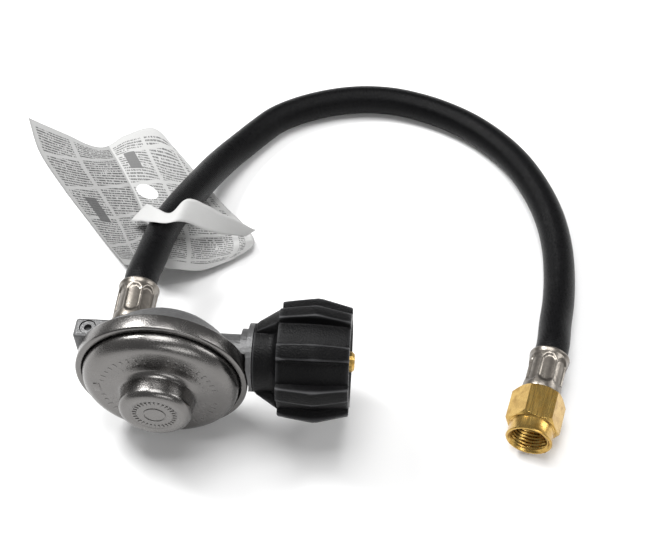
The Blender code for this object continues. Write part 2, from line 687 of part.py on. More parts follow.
def rib_radius(low, high):
    """Return a radius function that runs round the handwheel's ribs."""
    pitch = 2 * pi / RIB_COUNT

    def radius(angle):
        """Return the radius at one angle."""
        away = abs((angle - RIB_PHASE + pitch / 2) % pitch - pitch / 2)
        share = (RIB_ROOT_HALF - away) / (RIB_ROOT_HALF - RIB_CREST_HALF)
        return low + (high - low) * min(1.0, max(0.0, share))

    return radius


def in_web(angle):
    """Tell whether an angle lies on one of the two webs behind the ribs."""
    pitch = 2 * pi / RIB_COUNT
    middles = [RIB_PHASE + (rib + 0.5) * pitch for rib in WEB_RIBS]
    spans = [abs((angle - middle + pi) % (2 * pi) - pi) for middle in middles]
    return min(spans) < pitch / 2 + RIB_CREST_HALF * 1.01


def neck_radius(collar, web):
    """Return a radius function for the neck, which the two webs widen."""
    return lambda angle: web if in_web(angle) else collar


def rib_angles():
    """Return the angles of the columns of points round the handwheel."""
    pitch = 2 * pi / RIB_COUNT
    steps = (-RIB_ROOT_HALF, -RIB_CREST_HALF, RIB_CREST_HALF, RIB_ROOT_HALF, pitch / 2)
    return [RIB_PHASE + rib * pitch + step for rib in range(RIB_COUNT) for step in steps]


def build_handwheel(frame):
    """Ribbed nut that turns by hand, and the plain bushing that carries it on the nipple."""
    start = wheel_x()
    bore = NIPPLE_R + GAP + BUSHING_WALL
    place = Vector((start, INLET_Y, INLET_Z))
    sleeve = tube(NIPPLE_R + GAP, bore, 2 * GAP, SOCKET_FLOOR - GAP)
    add_object("handwheel_bushing", turned_mesh("handwheel_bushing", sleeve, 28), GREEN_PLASTIC,
               frame, place, spin_about("+X"))
    ramp = (WEB_END_R - WHEEL_COLLAR_R) / (WHEEL_FRONT - 1.0 * MM)
    edge = 0.6 * MM
    rings = [(0.0, bore + GAP), (0.0, WHEEL_COLLAR_R - edge), (edge, WHEEL_COLLAR_R)]
    for along, flare in ((4.0 * MM, 0.0), (7.4 * MM, 0.0), (9.2 * MM, 1.3 * MM)):
        rings.append((along, neck_radius(WHEEL_COLLAR_R + flare, WHEEL_COLLAR_R + ramp * along)))
    rings += [(WHEEL_FRONT, neck_radius(WHEEL_COLLAR_R + 3.2 * MM, WEB_END_R)),
              (WHEEL_FRONT, rib_radius(WHEEL_BODY_R - edge, RIB_FRONT_R - edge)),
              (WHEEL_FRONT + edge, rib_radius(WHEEL_BODY_R, RIB_FRONT_R)),
              (WHEEL_CREST, rib_radius(WHEEL_BODY_R, RIB_CREST_R)),
              (WHEEL_LEN - edge, rib_radius(WHEEL_BODY_R - WHEEL_TAPER, RIB_END_R)),
              (WHEEL_LEN, rib_radius(WHEEL_BODY_R - WHEEL_TAPER - edge, RIB_END_R - edge)),
              (WHEEL_LEN, SOCKET_R + edge), (WHEEL_LEN - edge, SOCKET_R),
              (SOCKET_FLOOR, SOCKET_R), (SOCKET_FLOOR, bore + GAP)]
    add_object("handwheel", lofted_mesh("handwheel", rings, rib_angles()), BLACK_PLASTIC, frame,
               place, spin_about("+X"))


def crimp_radius(outer, depth):
    """Return a radius function with a shallow flat for each crimp."""
    pitch = 2 * pi / CRIMP_COUNT

    def radius(angle):
        """Return the radius at one angle."""
        away = abs((angle + pitch / 2) % pitch - pitch / 2)
        return outer - depth if away < pitch * 0.36 else outer

    return radius


def ferrule_mesh(name):
    """Return a crimped sleeve from its fitting end, at 0, to its belled hose end."""
    pitch = 2 * pi / CRIMP_COUNT
    angles = [press * pitch + step * pitch for press in range(CRIMP_COUNT)
              for step in (-0.42, -0.3, 0.3, 0.42)]
    inner = FERRULE_R - FERRULE_WALL
    bell = FERRULE_R + FERRULE_BELL
    pressed = crimp_radius(FERRULE_R, CRIMP_DEPTH)
    rings = [(0.0, inner), (0.0, FERRULE_R - 0.7 * MM), (1.2 * MM, FERRULE_R),
             (CRIMP_START - 1.0 * MM, FERRULE_R), (CRIMP_START, pressed),
             (CRIMP_END - 1.0 * MM, pressed), (CRIMP_END, FERRULE_R),
             (FERRULE_LEN - 0.5 * MM, bell), (FERRULE_LEN, bell - 0.3 * MM), (FERRULE_LEN, inner)]
    return lofted_mesh(name, rings, angles)


def build_outlet(frame):
    """Barbed stem in the outlet boss, and the ferrule crimped over it."""
    place = Vector((OUTLET_X, 0, OUTLET_Z))
    start = outlet_face_y() + GAP
    core = FERRULE_R - FERRULE_WALL - GAP
    inside = BOWL_DEPTH - BOWL_WALL + 0.4 * MM
    outline = [(inside, STEM_BORE), (inside, HOSE_BORE), (start, HOSE_BORE), (start, core),
               (start + FERRULE_LEN - GAP, core), (start + FERRULE_LEN - GAP, STEM_BORE)]
    add_object("outlet_stem", turned_mesh("outlet_stem", outline, 28), BRASS, frame, place,
               spin_about("+Y"))
    add_object("regulator_ferrule", ferrule_mesh("regulator_ferrule"), STEEL, frame,
               place + Vector((0, start, 0)), spin_about("+Y"))


def hex_radius(limit):
    """Return a radius function for the nut's hexagon, cut back to a round limit."""
    pitch = pi / 3

    def radius(angle):
        """Return the radius at one angle."""
        away = abs((angle - NUT_ROLL + pitch / 2) % pitch - pitch / 2)
        return min(limit, NUT_FLATS / 2 / cos(away))

    return radius


def build_nut(frame):
    """Hexagonal flare nut, the flared stem that it turns on, and the far ferrule."""
    hex_start = NUT_LEN - NUT_HEX_LEN
    corner = NUT_FLATS / 2 / cos(pi / 6) + GAP
    chamfer = NUT_FLATS / 2 - 0.1 * MM
    rings = [(0.0, NUT_MOUTH_R + 0.7 * MM), (0.0, NUT_COLLAR_R - 0.5 * MM), (0.5 * MM, NUT_COLLAR_R),
             (hex_start, NUT_COLLAR_R), (hex_start, hex_radius(chamfer)),
             (hex_start + NUT_CHAMFER, hex_radius(corner)), (NUT_LEN - NUT_CHAMFER, hex_radius(corner)),
             (NUT_LEN, hex_radius(chamfer)), (NUT_LEN, NUT_REAR_R + GAP),
             (NUT_LEN - NUT_REAR_T, NUT_REAR_R + GAP), (NUT_LEN - NUT_REAR_T, NUT_MOUTH_R),
             (0.8 * MM, NUT_MOUTH_R)]
    angles = [NUT_ROLL + radians(10.0 * step) for step in range(36)]
    add_object("flare_nut", lofted_mesh("flare_nut", rings, angles, radians(20)), BRASS, frame)
    shoulder = NUT_LEN - NUT_REAR_T - GAP
    wide = NUT_MOUTH_R - GAP - 0.1 * MM
    ferrule_start = NUT_LEN + GAP
    core = FERRULE_R - FERRULE_WALL - GAP
    end = ferrule_start + FERRULE_LEN - GAP
    stem = [(shoulder - FLARE_CONE - 3.2 * MM, STEM_BORE), (shoulder - FLARE_CONE - 3.2 * MM, 4.1 * MM),
            (shoulder - FLARE_CONE, wide), (shoulder, wide), (shoulder, NUT_REAR_R),
            (ferrule_start + GAP, NUT_REAR_R), (ferrule_start + GAP, core), (end, core),
            (end, STEM_BORE)]
    add_object("flare_stem", turned_mesh("flare_stem", stem, 28), BRASS, frame)
    add_object("nut_ferrule", ferrule_mesh("nut_ferrule"), STEEL, frame,
               (0, 0, ferrule_start))


def smooth_route(points, count):
    """Return evenly spaced points on a smooth curve, with its first and last runs left straight."""
    fine = []
    for before, here, after, beyond in zip(points, points[1:], points[2:], points[3:]):
        for step in range(12):
            t = step / 12
            fine.append(0.5 * (2 * here + (after - before) * t
                               + (2 * before - 5 * here + 4 * after - beyond) * t ** 2
                               + (3 * here - before - 3 * after + beyond) * t ** 3))
    fine.append(points[-2])
    runs = [0.0]
    for here, after in zip(fine, fine[1:]):
        runs.append(runs[-1] + (after - here).length)
    placed = []
    index = 0
    for number in range(count - 2):
        wanted = runs[-1] * number / (count - 3)
        while index < len(runs) - 2 and runs[index + 1] < wanted:
            index += 1
        share = (wanted - runs[index]) / (runs[index + 1] - runs[index])
        placed.append(fine[index].lerp(fine[index + 1], share))
    return [points[0]] + placed + [points[-1]]


def hose_points(regulator, nut, count):
    """Return points on the hose's centre line, from ferrule to ferrule."""
    exit_y = outlet_face_y() + GAP + FERRULE_LEN + GAP
    end_z = NUT_LEN + GAP + FERRULE_LEN + GAP
    first = [regulator.matrix_world @ Vector((OUTLET_X, exit_y + run, OUTLET_Z))
             for run in (0.0, HOSE_LEAD)]
    last = [nut.matrix_world @ Vector((0, 0, end_z + run)) for run in (HOSE_LEAD, 0.0)]
    middle = [Vector(point) * MM for point in HOSE_ROUTE]
    return smooth_route(first + middle + last, count)


def build_hose(points):
    """Plain tube along the hose's route."""
    curve = bpy.data.curves.new("hose", "CURVE")
    curve.dimensions = "3D"
    curve.bevel_depth = HOSE_R
    curve.bevel_resolution = 3
    curve.use_fill_caps = True
    spline = curve.splines.new("POLY")
    spline.points.add(len(points) - 1)
    for target, point in zip(spline.points, points):
        target.co = (*point, 1.0)
    add_object("hose", curve, BLACK_RUBBER)


def build_tag(points):
    """Folded paper sheet under the hose, and the paper band that holds it to the hose."""
    index = round(BAND_AT * (len(points) - 1))
    heading = (points[index + 1] - points[index - 1]).normalized()
    inner = HOSE_R + BAND_CLEAR
    band = tube(inner, inner + BAND_T, -BAND_WIDE / 2, BAND_WIDE / 2)
    turn = heading.to_track_quat("Z", "Y").to_euler()
    add_object("tag_band", turned_mesh("tag_band", band, 28), PAPER, None, points[index], turn)
    bm = bmesh.new()
    layers = []
    for lift in (-TAG_T / 2, TAG_T / 2):
        layers.append([[bm.verts.new(tag_point(point) + Vector((0, 0, lift))) for point in row]
                       for row in TAG_NET])
    for layer in layers:
        for row, following in zip(layer, layer[1:]):
            for column in range(len(row) - 1):
                bm.faces.new((row[column], row[column + 1], following[column + 1], following[column]))
    low, high = [border_loop(layer) for layer in layers]
    for column in range(len(low)):
        beside = (column + 1) % len(low)
        bm.faces.new((low[column], low[beside], high[beside], high[column]))
    add_object("tag_sheet", mesh_from("tag_sheet", bm, radians(60)), PAPER)


def tag_point(point):
    """Return a point of the sheet's middle surface, under the hose and above the floor."""
    x, y, height = Vector(point) * MM
    return Vector((x, y, max(height - HOSE_R, TAG_T)))


def border_loop(net):
    """Return the points round the edge of a net."""
    right = [row[-1] for row in net[1:-1]]
    left = [row[0] for row in net[1:-1]]
    return net[0] + right + net[-1][::-1] + left[::-1]


def main():
    """Build every piece."""
    clear_scene()
    regulator = add_empty("regulator_frame", location=REG_CENTRE, rotation=REG_TURN)
    nut = add_empty("nut_frame", location=NUT_FACE, rotation=(-pi / 2, 0.0, -NUT_HEADING))
    bpy.context.view_layer.update()
    build_rim(regulator)
    build_bonnet(regulator)
    build_casting(regulator)
    build_diaphragm(regulator)
    build_main_spring(regulator)
    build_lever(regulator)
    build_valve(regulator)
    build_port_plug(regulator)
    build_nipple(regulator)
    build_handwheel(regulator)
    build_outlet(regulator)
    build_nut(nut)
    points = hose_points(regulator, nut, HOSE_POINTS)
    build_hose(points)
    build_tag(points)


main()
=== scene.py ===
"""Looks of a low-pressure gas regulator with its handwheel inlet, rubber hose, flare nut and tag.

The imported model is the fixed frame.  Lengths are in metres, except for lists of points, which are in
millimetres like the numbers that stand before MM.
"""

import logging
from dataclasses import dataclass
from enum import Enum
from math import cos, pi, radians, sin
from typing import Callable, Optional, Sequence, Union

import bmesh
import bpy
from mathutils import Euler, Matrix, Vector, noise

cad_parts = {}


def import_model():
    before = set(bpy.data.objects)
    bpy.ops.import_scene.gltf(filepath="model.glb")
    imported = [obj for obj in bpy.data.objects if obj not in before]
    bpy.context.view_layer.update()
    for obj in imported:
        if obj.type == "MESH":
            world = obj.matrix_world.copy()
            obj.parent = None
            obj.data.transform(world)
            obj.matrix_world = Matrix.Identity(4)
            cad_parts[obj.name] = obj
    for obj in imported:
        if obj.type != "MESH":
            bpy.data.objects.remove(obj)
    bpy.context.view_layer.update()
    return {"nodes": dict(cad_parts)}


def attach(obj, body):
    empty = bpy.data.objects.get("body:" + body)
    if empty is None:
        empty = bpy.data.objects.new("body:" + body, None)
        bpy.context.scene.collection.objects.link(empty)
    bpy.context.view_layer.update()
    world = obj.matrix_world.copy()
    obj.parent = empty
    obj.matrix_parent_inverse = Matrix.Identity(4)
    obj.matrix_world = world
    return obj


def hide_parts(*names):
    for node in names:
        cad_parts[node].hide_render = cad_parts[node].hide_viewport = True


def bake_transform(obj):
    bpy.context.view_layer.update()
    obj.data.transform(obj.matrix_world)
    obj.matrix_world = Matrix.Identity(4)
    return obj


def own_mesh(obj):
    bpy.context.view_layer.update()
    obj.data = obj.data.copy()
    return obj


MM = 0.001
LOG = logging.getLogger("regulator")

Colour = tuple[float, float, float]
Number = Union[int, float]
Socket = bpy.types.NodeSocket
Piece = bpy.types.Object
Material = bpy.types.Material
Mesh = bmesh.types.BMesh
Term = Union["Value", Number]           # what stands in an expression on values
Radius = Callable[[float], float]       # gives a radius at an angle
MIX_LOW, MIX_HIGH, MIX_OUT = 6, 7, 2    # colour sockets of the Mix node, which share their names
TINY = 0.004 * MM                       # radius that stands for a point on an axis


class Axis(Enum):
    """One of a piece's own axes."""

    X = 0
    Y = 1
    Z = 2


# ---------------------------------------------------------------- shader building

class Value:
    """One number in a material, with arithmetic that adds Math nodes."""

    def __init__(self, graph: "Graph", socket: Socket) -> None:
        """Keep the graph and the socket that the number comes from."""
        self.graph = graph
        self.socket = socket

    def math(self, operation: str, *others: Term) -> "Value":
        """Add a Math node on this value.

        Args:
            operation: the Math node's operation.
            others: the second and third operands.

        Returns:
            The node's result.
        """
        made = self.graph.add("ShaderNodeMath", {"operation": operation}, (self, *others))
        return Value(self.graph, made.outputs[0])

    def __add__(self, other: Term) -> "Value":
        """Return the sum."""
        return self.math("ADD", other)

    __radd__ = __add__

    def __mul__(self, other: Term) -> "Value":
        """Return the product."""
        return self.math("MULTIPLY", other)

    __rmul__ = __mul__

    def __sub__(self, other: Term) -> "Value":
        """Return the difference."""
        return self.math("SUBTRACT", other)

    def __rsub__(self, other: Number) -> "Value":
        """Return a number less this value."""
        return (self * -1.0) + other

    def __pow__(self, power: Number) -> "Value":
        """Return the value raised to a power."""
        return self.math("POWER", power)

    def wave(self) -> "Value":
        """Return the sine of the value."""
        return self.math("SINE")

    def part(self) -> "Value":
        """Return what is left of the value after its whole number."""
        return self.math("FRACT")

    def whole(self) -> "Value":
        """Return the whole number under the value."""
        return self.math("FLOOR")

    def least(self, other: Term) -> "Value":
        """Return the smaller of two values."""
        return self.math("MINIMUM", other)

    def most(self, other: Term) -> "Value":
        """Return the larger of two values."""
        return self.math("MAXIMUM", other)

    def above(self, edge: Number) -> "Value":
        """Return 1 where the value is over an edge, else 0."""
        return self.math("GREATER_THAN", edge)

    def below(self, edge: Number) -> "Value":
        """Return 1 where the value is under an edge, else 0."""
        return self.math("LESS_THAN", edge)

    def between(self, low: Number, high: Number) -> "Value":
        """Return 1 where the value lies between two edges, else 0."""
        return self.above(low) * self.below(high)

    def ease(self, low: Number, high: Number, start: Number = 0.0, end: Number = 1.0) -> "Value":
        """Map a stretch of the value smoothly onto another.

        Args:
            low: the value that gives start.
            high: the value that gives end.
            start: the result at and under low.
            end: the result at and over high.

        Returns:
            The mapped value.
        """
        made = self.graph.add("ShaderNodeMapRange", {"interpolation_type": "SMOOTHSTEP"},
                              {"Value": self, "From Min": low, "From Max": high,
                               "To Min": start, "To Max": end})
        return Value(self.graph, made.outputs["Result"])


class Graph:
    """The node tree of one material, with a method for every kind of node."""

    def __init__(self, name: str) -> None:
        """Start an empty material of a given name.

        Args:
            name: the material's name.
        """
        self.material = bpy.data.materials.new(name)
        self.material.use_nodes = True
        self.tree = self.material.node_tree
        self.tree.nodes.clear()

    def add(self, kind: str, settings: Optional[dict] = None,
            inputs: Union[dict, Sequence, None] = None) -> bpy.types.Node:
        """Add a node, set it up, then fill or link its sockets.

        Args:
            kind: the node's type.
            settings: its own properties, which are set first.
            inputs: values or links by socket name, or in order.

        Returns:
            The node.
        """
        made = self.tree.nodes.new(kind)
        for name, value in (settings or {}).items():
            setattr(made, name, value)
        pairs = inputs.items() if isinstance(inputs, dict) else enumerate(inputs or ())
        for name, value in pairs:
            self.feed(made.inputs[name], value)
        return made

    def feed(self, socket: Socket, value: object) -> None:
        """Link a value to a socket, or set the socket to a plain number or colour.

        Args:
            socket: the socket to fill.
            value: a value, a socket, a number or a colour.
        """
        if isinstance(value, Value):
            value = value.socket
        if isinstance(value, Socket):
            self.tree.links.new(value, socket)
        elif isinstance(value, tuple) and socket.type == "RGBA":
            socket.default_value = (*value[:3], 1.0)
        else:
            socket.default_value = value

    def place(self) -> Socket:
        """Return the piece's own coordinates, in millimetres.

        Returns:
            The coordinates.
        """
        coordinates = self.add("ShaderNodeTexCoord")
        scaled = self.add("ShaderNodeVectorMath", {"operation": "SCALE"},
                          {0: coordinates.outputs["Object"], "Scale": 1.0 / MM})
        return scaled.outputs["Vector"]

    def sheet_place(self) -> Socket:
        """Return the piece's unwrapped coordinates."""
        return self.add("ShaderNodeUVMap").outputs["UV"]

    def axes(self, vector: Socket) -> tuple[Value, Value, Value]:
        """Return the three parts of a vector."""
        made = self.add("ShaderNodeSeparateXYZ", None, (vector,))
        return tuple(Value(self, socket) for socket in made.outputs)

    def vector(self, *parts: Term) -> Socket:
        """Return a vector put together from its parts."""
        return self.add("ShaderNodeCombineXYZ", None, parts).outputs[0]

    def stretch(self, vector: Socket, scale: Sequence[float]) -> Socket:
        """Return a vector with each part multiplied by its own factor."""
        made = self.add("ShaderNodeVectorMath", {"operation": "MULTIPLY"}, {0: vector, 1: tuple(scale)})
        return made.outputs["Vector"]

    def noise(self, vector: Socket, scale: Number, detail: Number = 3.0,
              roughness: Number = 0.5) -> Value:
        """Return cloudy noise from 0 to 1.

        Args:
            vector: where the noise is read.
            scale: how many features lie in one unit.
            detail: how many finer layers are added.
            roughness: how strong the finer layers are.

        Returns:
            The noise.
        """
        made = self.add("ShaderNodeTexNoise", None, {"Vector": vector, "Scale": scale,
                                                     "Detail": detail, "Roughness": roughness})
        return Value(self, made.outputs["Fac"])

    def cells(self, vector: Socket, scale: Number) -> Value:
        """Return the distance to the nearest of many scattered points.

        Args:
            vector: where the cells are read.
            scale: how many cells lie in one unit.

        Returns:
            The distance.
        """
        made = self.add("ShaderNodeTexVoronoi", None, {"Vector": vector, "Scale": scale})
        return Value(self, made.outputs["Distance"])

    def blend(self, factor: Term, low: object, high: object) -> Socket:
        """Return a colour between two others."""
        inputs = {"Factor": factor, MIX_LOW: low, MIX_HIGH: high}
        return self.add("ShaderNodeMix", {"data_type": "RGBA"}, inputs).outputs[MIX_OUT]

    def bump(self, height: Value, depth: float, strength: float = 1.0) -> Socket:
        """Return a normal bent by a height.

        Args:
            height: the height, from 0 to 1.
            depth: the depth of a height of 1, in metres.
            strength: how much of the bend is kept.

        Returns:
            The normal.
        """
        inputs = {"Height": height, "Distance": depth, "Strength": strength}
        return self.add("ShaderNodeBump", None, inputs).outputs["Normal"]

    def finish(self, **sockets: object) -> Material:
        """Close the tree with a Principled shader.

        Args:
            sockets: values and links by socket name, with underscores for spaces.

        Returns:
            The material.
        """
        shader = self.add("ShaderNodeBsdfPrincipled", None,
                          {name.replace("_", " "): value for name, value in sockets.items()})
        self.add("ShaderNodeOutputMaterial", None, {"Surface": shader.outputs[0]})
        return self.material


# ---------------------------------------------------------------- finishes

class Finish:
    """A recipe for one material."""

    name: str

    def make(self) -> Material:
        """Return the material."""
        graph = Graph(self.name)
        return graph.finish(**self.look(graph, graph.place()))

    def look(self, graph: Graph, place: Socket) -> dict[str, object]:
        """Return the shader's values by socket name; each finish has its own."""
        raise NotImplementedError


@dataclass(frozen=True)
class Area:
    """An oblong of a sheet, in shares of its width and length."""

    left: float
    right: float
    top: float
    bottom: float

    def mask(self, across: Value, down: Value) -> Value:
        """Return 1 inside the oblong, else 0."""
        return across.between(self.left, self.right) * down.between(self.top, self.bottom)


@dataclass(frozen=True)
class CastZinc(Finish):
    """Rough die-cast zinc with a slightly mottled skin."""

    name: str = "cast_zinc"
    tone: Colour = (0.135, 0.135, 0.136)
    grain: float = 0.9

    def look(self, graph: Graph, place: Socket) -> dict[str, object]:
        """Return the shader's values by socket name.

        Args:
            graph: the node tree that takes the nodes.
            place: the piece's own coordinates, in millimetres.

        Returns:
            The shader's values.
        """
        cloud = graph.noise(place, 0.16, 4.0)
        skin = graph.noise(place, self.grain, 5.0, 0.62)
        dark = tuple(part * 0.72 for part in self.tone)
        light = tuple(min(1.0, part * 1.15) for part in self.tone)
        return dict(
            Base_Color=graph.blend(cloud * 0.6 + skin * 0.4, dark, light), Metallic=0.75,
            Roughness=skin.ease(0.3, 0.75, 0.36, 0.58), Normal=graph.bump(skin, 0.00022))


@dataclass(frozen=True)
class StampedZinc(Finish):
    """Plated sheet with a satin skin that was spun about the part's own axis."""

    name: str = "stamped_zinc"
    tone: Colour = (0.2, 0.193, 0.187)
    axis: Axis = Axis.Z

    def look(self, graph: Graph, place: Socket) -> dict[str, object]:
        """Return the shader's values by socket name.

        Args:
            graph: the node tree that takes the nodes.
            place: the piece's own coordinates, in millimetres.

        Returns:
            The shader's values.
        """
        parts = list(graph.axes(place))
        parts.pop(self.axis.value)
        radius = (parts[0] * parts[0] + parts[1] * parts[1]) ** 0.5
        rings = graph.noise(graph.vector(radius * 5.0, 0.0, 0.0), 1.0, 3.0, 0.7)
        cloud = graph.noise(place, 0.11, 3.0)
        specks = graph.noise(place, 2.4, 2.0)
        dark = tuple(part * 0.6 for part in self.tone)
        shade = cloud * 0.6 + rings * 0.25 + specks * 0.15
        return dict(
            Base_Color=graph.blend(shade, dark, self.tone), Metallic=0.95,
            Roughness=(cloud * 0.6 + specks * 0.4).ease(0.3, 0.7, 0.17, 0.31),
            Normal=graph.bump(rings * 0.4 + specks * 0.6, 0.00009))


@dataclass(frozen=True)
class TurnedMetal(Finish):
    """Metal turned on a lathe, with fine tool lines that run round the local axis."""

    name: str
    tone: Colour
    stain: Colour
    axis: Axis = Axis.Z
    rough: float = 0.24
    lines: float = 9.0
    cross: float = 0.25

    def look(self, graph: Graph, place: Socket) -> dict[str, object]:
        """Return the shader's values by socket name.

        Args:
            graph: the node tree that takes the nodes.
            place: the piece's own coordinates, in millimetres.

        Returns:
            The shader's values.
        """
        squeeze = [self.cross] * 3
        squeeze[self.axis.value] = self.lines
        lines = graph.noise(graph.stretch(place, squeeze), 1.0, 2.0, 0.6)
        cloud = graph.noise(place, 0.3, 4.0, 0.6)
        return dict(
            Base_Color=graph.blend(cloud.ease(0.35, 0.75), self.tone, self.stain), Metallic=1.0,
            Roughness=(cloud * 0.5 + lines * 0.5).ease(0.3, 0.7, self.rough, self.rough + 0.16),
            Normal=graph.bump(lines, 0.00003))


@dataclass(frozen=True)
class GrainedPlastic(Finish):
    """Moulded plastic with an even fine grain and a painted highlight on its sharp edges."""

    name: str = "black_plastic"
    tone: Colour = (0.0018, 0.0018, 0.002)
    edge_highlight_tone: Colour = (0.09, 0.09, 0.094)
    rough: float = 0.3

    def look(self, graph: Graph, place: Socket) -> dict[str, object]:
        """Return the shader's values by socket name.

        Args:
            graph: the node tree that takes the nodes.
            place: the piece's own coordinates, in millimetres.

        Returns:
            The shader's values.
        """
        grain = graph.noise(place, 1.9, 3.0, 0.6)
        pits = graph.cells(place, 1.5)
        cloud = graph.noise(place, 0.2, 3.0)
        light = tuple(part * 1.9 for part in self.tone)
        # Painted highlight: sharp edges, found through pointiness, are blended towards a paler tone.
        edge = graph.add("ShaderNodeNewGeometry").outputs["Pointiness"]
        paler = Value(graph, edge).ease(0.515, 0.57)
        face = graph.blend(cloud * 0.5 + grain * 0.5, self.tone, light)
        return dict(
            Base_Color=graph.blend(paler * 0.7, face, self.edge_highlight_tone),
            Roughness=(cloud * 0.4 + grain * 0.6).ease(0.3, 0.7, self.rough, self.rough + 0.18),
            Normal=graph.bump(grain * 0.6 + pits * 0.4, 0.00024), Specular_IOR_Level=0.13)


@dataclass(frozen=True)
class ClothRubber(Finish):
    """Black rubber that was cured in a cloth wrap, which left a fine slanted weave."""

    name: str = "hose_rubber"
    tone: Colour = (0.0024, 0.0024, 0.0027)
    around: int = 34
    pitch: float = 1.5

    def look(self, graph: Graph, place: Socket) -> dict[str, object]:
        """Return the shader's values by socket name.

        Args:
            graph: the node tree that takes the nodes.
            place: the piece's own coordinates, in millimetres.

        Returns:
            The shader's values.
        """
        turn, along, _ = graph.axes(graph.sheet_place())
        slant = along * (2 * pi / self.pitch)
        ring = turn * (2 * pi * self.around)
        weave = (ring + slant).wave() * (ring - slant).wave() * 0.5 + 0.5
        scuff = graph.noise(place, 0.35, 4.0, 0.6)
        fine = graph.noise(place, 4.0, 2.0)
        paler = tuple(part * 1.8 for part in self.tone)
        return dict(
            Base_Color=graph.blend((weave * 0.5 + scuff * 0.5).ease(0.35, 0.8), self.tone, paler),
            Roughness=(scuff * 0.5 + weave * 0.2 + fine * 0.3).ease(0.25, 0.75, 0.22, 0.38),
            Normal=graph.bump(weave * 0.75 + fine * 0.25, 0.00013), Specular_IOR_Level=0.09)


@dataclass(frozen=True)
class PlainFinish(Finish):
    """An inner piece's finish: one tone with a mottled skin."""

    name: str
    tone: Colour
    rough: float = 0.4
    metal: float = 0.0

    def look(self, graph: Graph, place: Socket) -> dict[str, object]:
        """Return the shader's values by socket name.

        Args:
            graph: the node tree that takes the nodes.
            place: the piece's own coordinates, in millimetres.

        Returns:
            The shader's values.
        """
        skin = graph.noise(place, 1.1, 4.0, 0.6)
        dark = tuple(part * 0.7 for part in self.tone)
        return dict(
            Base_Color=graph.blend(skin, dark, self.tone), Metallic=self.metal,
            Roughness=skin.ease(0.3, 0.7, self.rough, self.rough + 0.14),
            Normal=graph.bump(skin, 0.00006))


@dataclass(frozen=True)
class PrintedPaper(Finish):
    """White paper with grey columns of generic bars, two small blocks, a bare round patch and painted
    shade on the folded flap.
    """

    name: str = "printed_paper"
    paper: Colour = (0.5, 0.5, 0.494)
    ink: Colour = (0.025, 0.025, 0.026)
    patch: Colour = (0.88, 0.88, 0.88)
    flap_shade_tone: float = 0.6
    lines: int = 58
    flap: float = 0.46
    printed: float = 1.0
    margin: Area = Area(0.03, 0.96, 0.04, 0.93)
    block: Area = Area(0.52, 0.6, 0.12, 0.24)
    picture: Area = Area(0.1, 0.17, 0.45, 0.62)
    patch_at: tuple = (0.55, 0.375)
    patch_size: tuple = (79.6, 115.6)
    patch_r: float = 5.4

    def look(self, graph: Graph, place: Socket) -> dict[str, object]:
        """Return the shader's values by socket name.

        Args:
            graph: the node tree that takes the nodes.
            place: the piece's own coordinates, in millimetres.

        Returns:
            The shader's values.
        """
        across, down, _ = graph.axes(graph.sheet_place())
        fibre = graph.noise(place, 2.2, 3.0)
        crumple = graph.noise(place, 0.16, 3.0, 0.55)
        flap = across.below(self.flap)
        row = down * self.lines
        letters = graph.noise(graph.vector(across * 170.0, row.whole() * 7.3, 0.0), 1.0, 1.0)
        words = letters.above(0.43) * row.part().between(0.22, 0.78)
        column = (across * (2.0 / self.flap)).part().between(0.06, 0.95)
        margin = self.margin.mask(across, down)
        break_line = (down * 5.0 + across * 0.8).part().above(0.1)
        bars = words * column * margin * break_line * (flap * 0.15 + 0.72)
        blocks = (self.block.mask(across, down) * 0.7).most(self.picture.mask(across, down) * 0.8)
        ink = bars.most(blocks) * self.printed
        aside = (across - self.patch_at[0]) * self.patch_size[0]
        ahead = (down - self.patch_at[1]) * self.patch_size[1]
        bare = (aside * aside + ahead * ahead).below(self.patch_r ** 2)
        # Painted shade: the paper on the flap, which is turned away from the light, is darkened.
        shaded_paper = tuple(part * self.flap_shade_tone for part in self.paper)
        shade = graph.blend((fibre * 0.3 + flap).least(1.0), self.paper, shaded_paper)
        return dict(
            Base_Color=graph.blend(bare, graph.blend(ink, shade, self.ink), self.patch),
            Roughness=fibre.ease(0.3, 0.7, 0.62, 0.78),
            Normal=graph.bump(crumple * 0.8 + fibre * 0.2, 0.0005, 0.6))


@dataclass(frozen=True)
class PaleFloor(Finish):
    """Plain pale floor with a faint unevenness."""

    name: str = "pale_floor"

    def look(self, graph: Graph, place: Socket) -> dict[str, object]:
        """Return the shader's values by socket name.

        Args:
            graph: the node tree that takes the nodes.
            place: the piece's own coordinates, in millimetres.

        Returns:
            The shader's values.
        """
        cloud = graph.noise(place, 0.02, 2.0)
        return dict(Base_Color=graph.blend(cloud, (0.9, 0.9, 0.9), (0.93, 0.93, 0.93)),
                            Roughness=0.9)


NUT_BRASS = TurnedMetal("brushed_brass", (0.56, 0.37, 0.11), (0.36, 0.21, 0.05), rough=0.2,
                        lines=0.1, cross=2.4)
STEEL = TurnedMetal("crimped_steel", (0.235, 0.215, 0.19), (0.15, 0.135, 0.12), rough=0.26,
                    lines=3.0)
INLET_BRASS = TurnedMetal("inlet_brass", (0.60, 0.40, 0.13), (0.44, 0.28, 0.08), axis=Axis.X)
STEM_BRASS = TurnedMetal("stem_brass", (0.60, 0.40, 0.13), (0.44, 0.28, 0.08), axis=Axis.Y)
SPRING = TurnedMetal("spring_steel", (0.42, 0.42, 0.43), (0.3, 0.3, 0.31))
SEAL_RUBBER = PlainFinish("seal_rubber", (0.014, 0.014, 0.015), 0.45)


class Paint:
    """Keeps one material for each finish."""

    made: dict[Finish, Material] = {}

    @classmethod
    def get(cls, finish: Finish) -> Material:
        """Return the finish's material, made on first use.

        Args:
            finish: the finish.

        Returns:
            Its material.
        """
        if finish not in cls.made:
            cls.made[finish] = finish.make()
        return cls.made[finish]


# ---------------------------------------------------------------- shapes

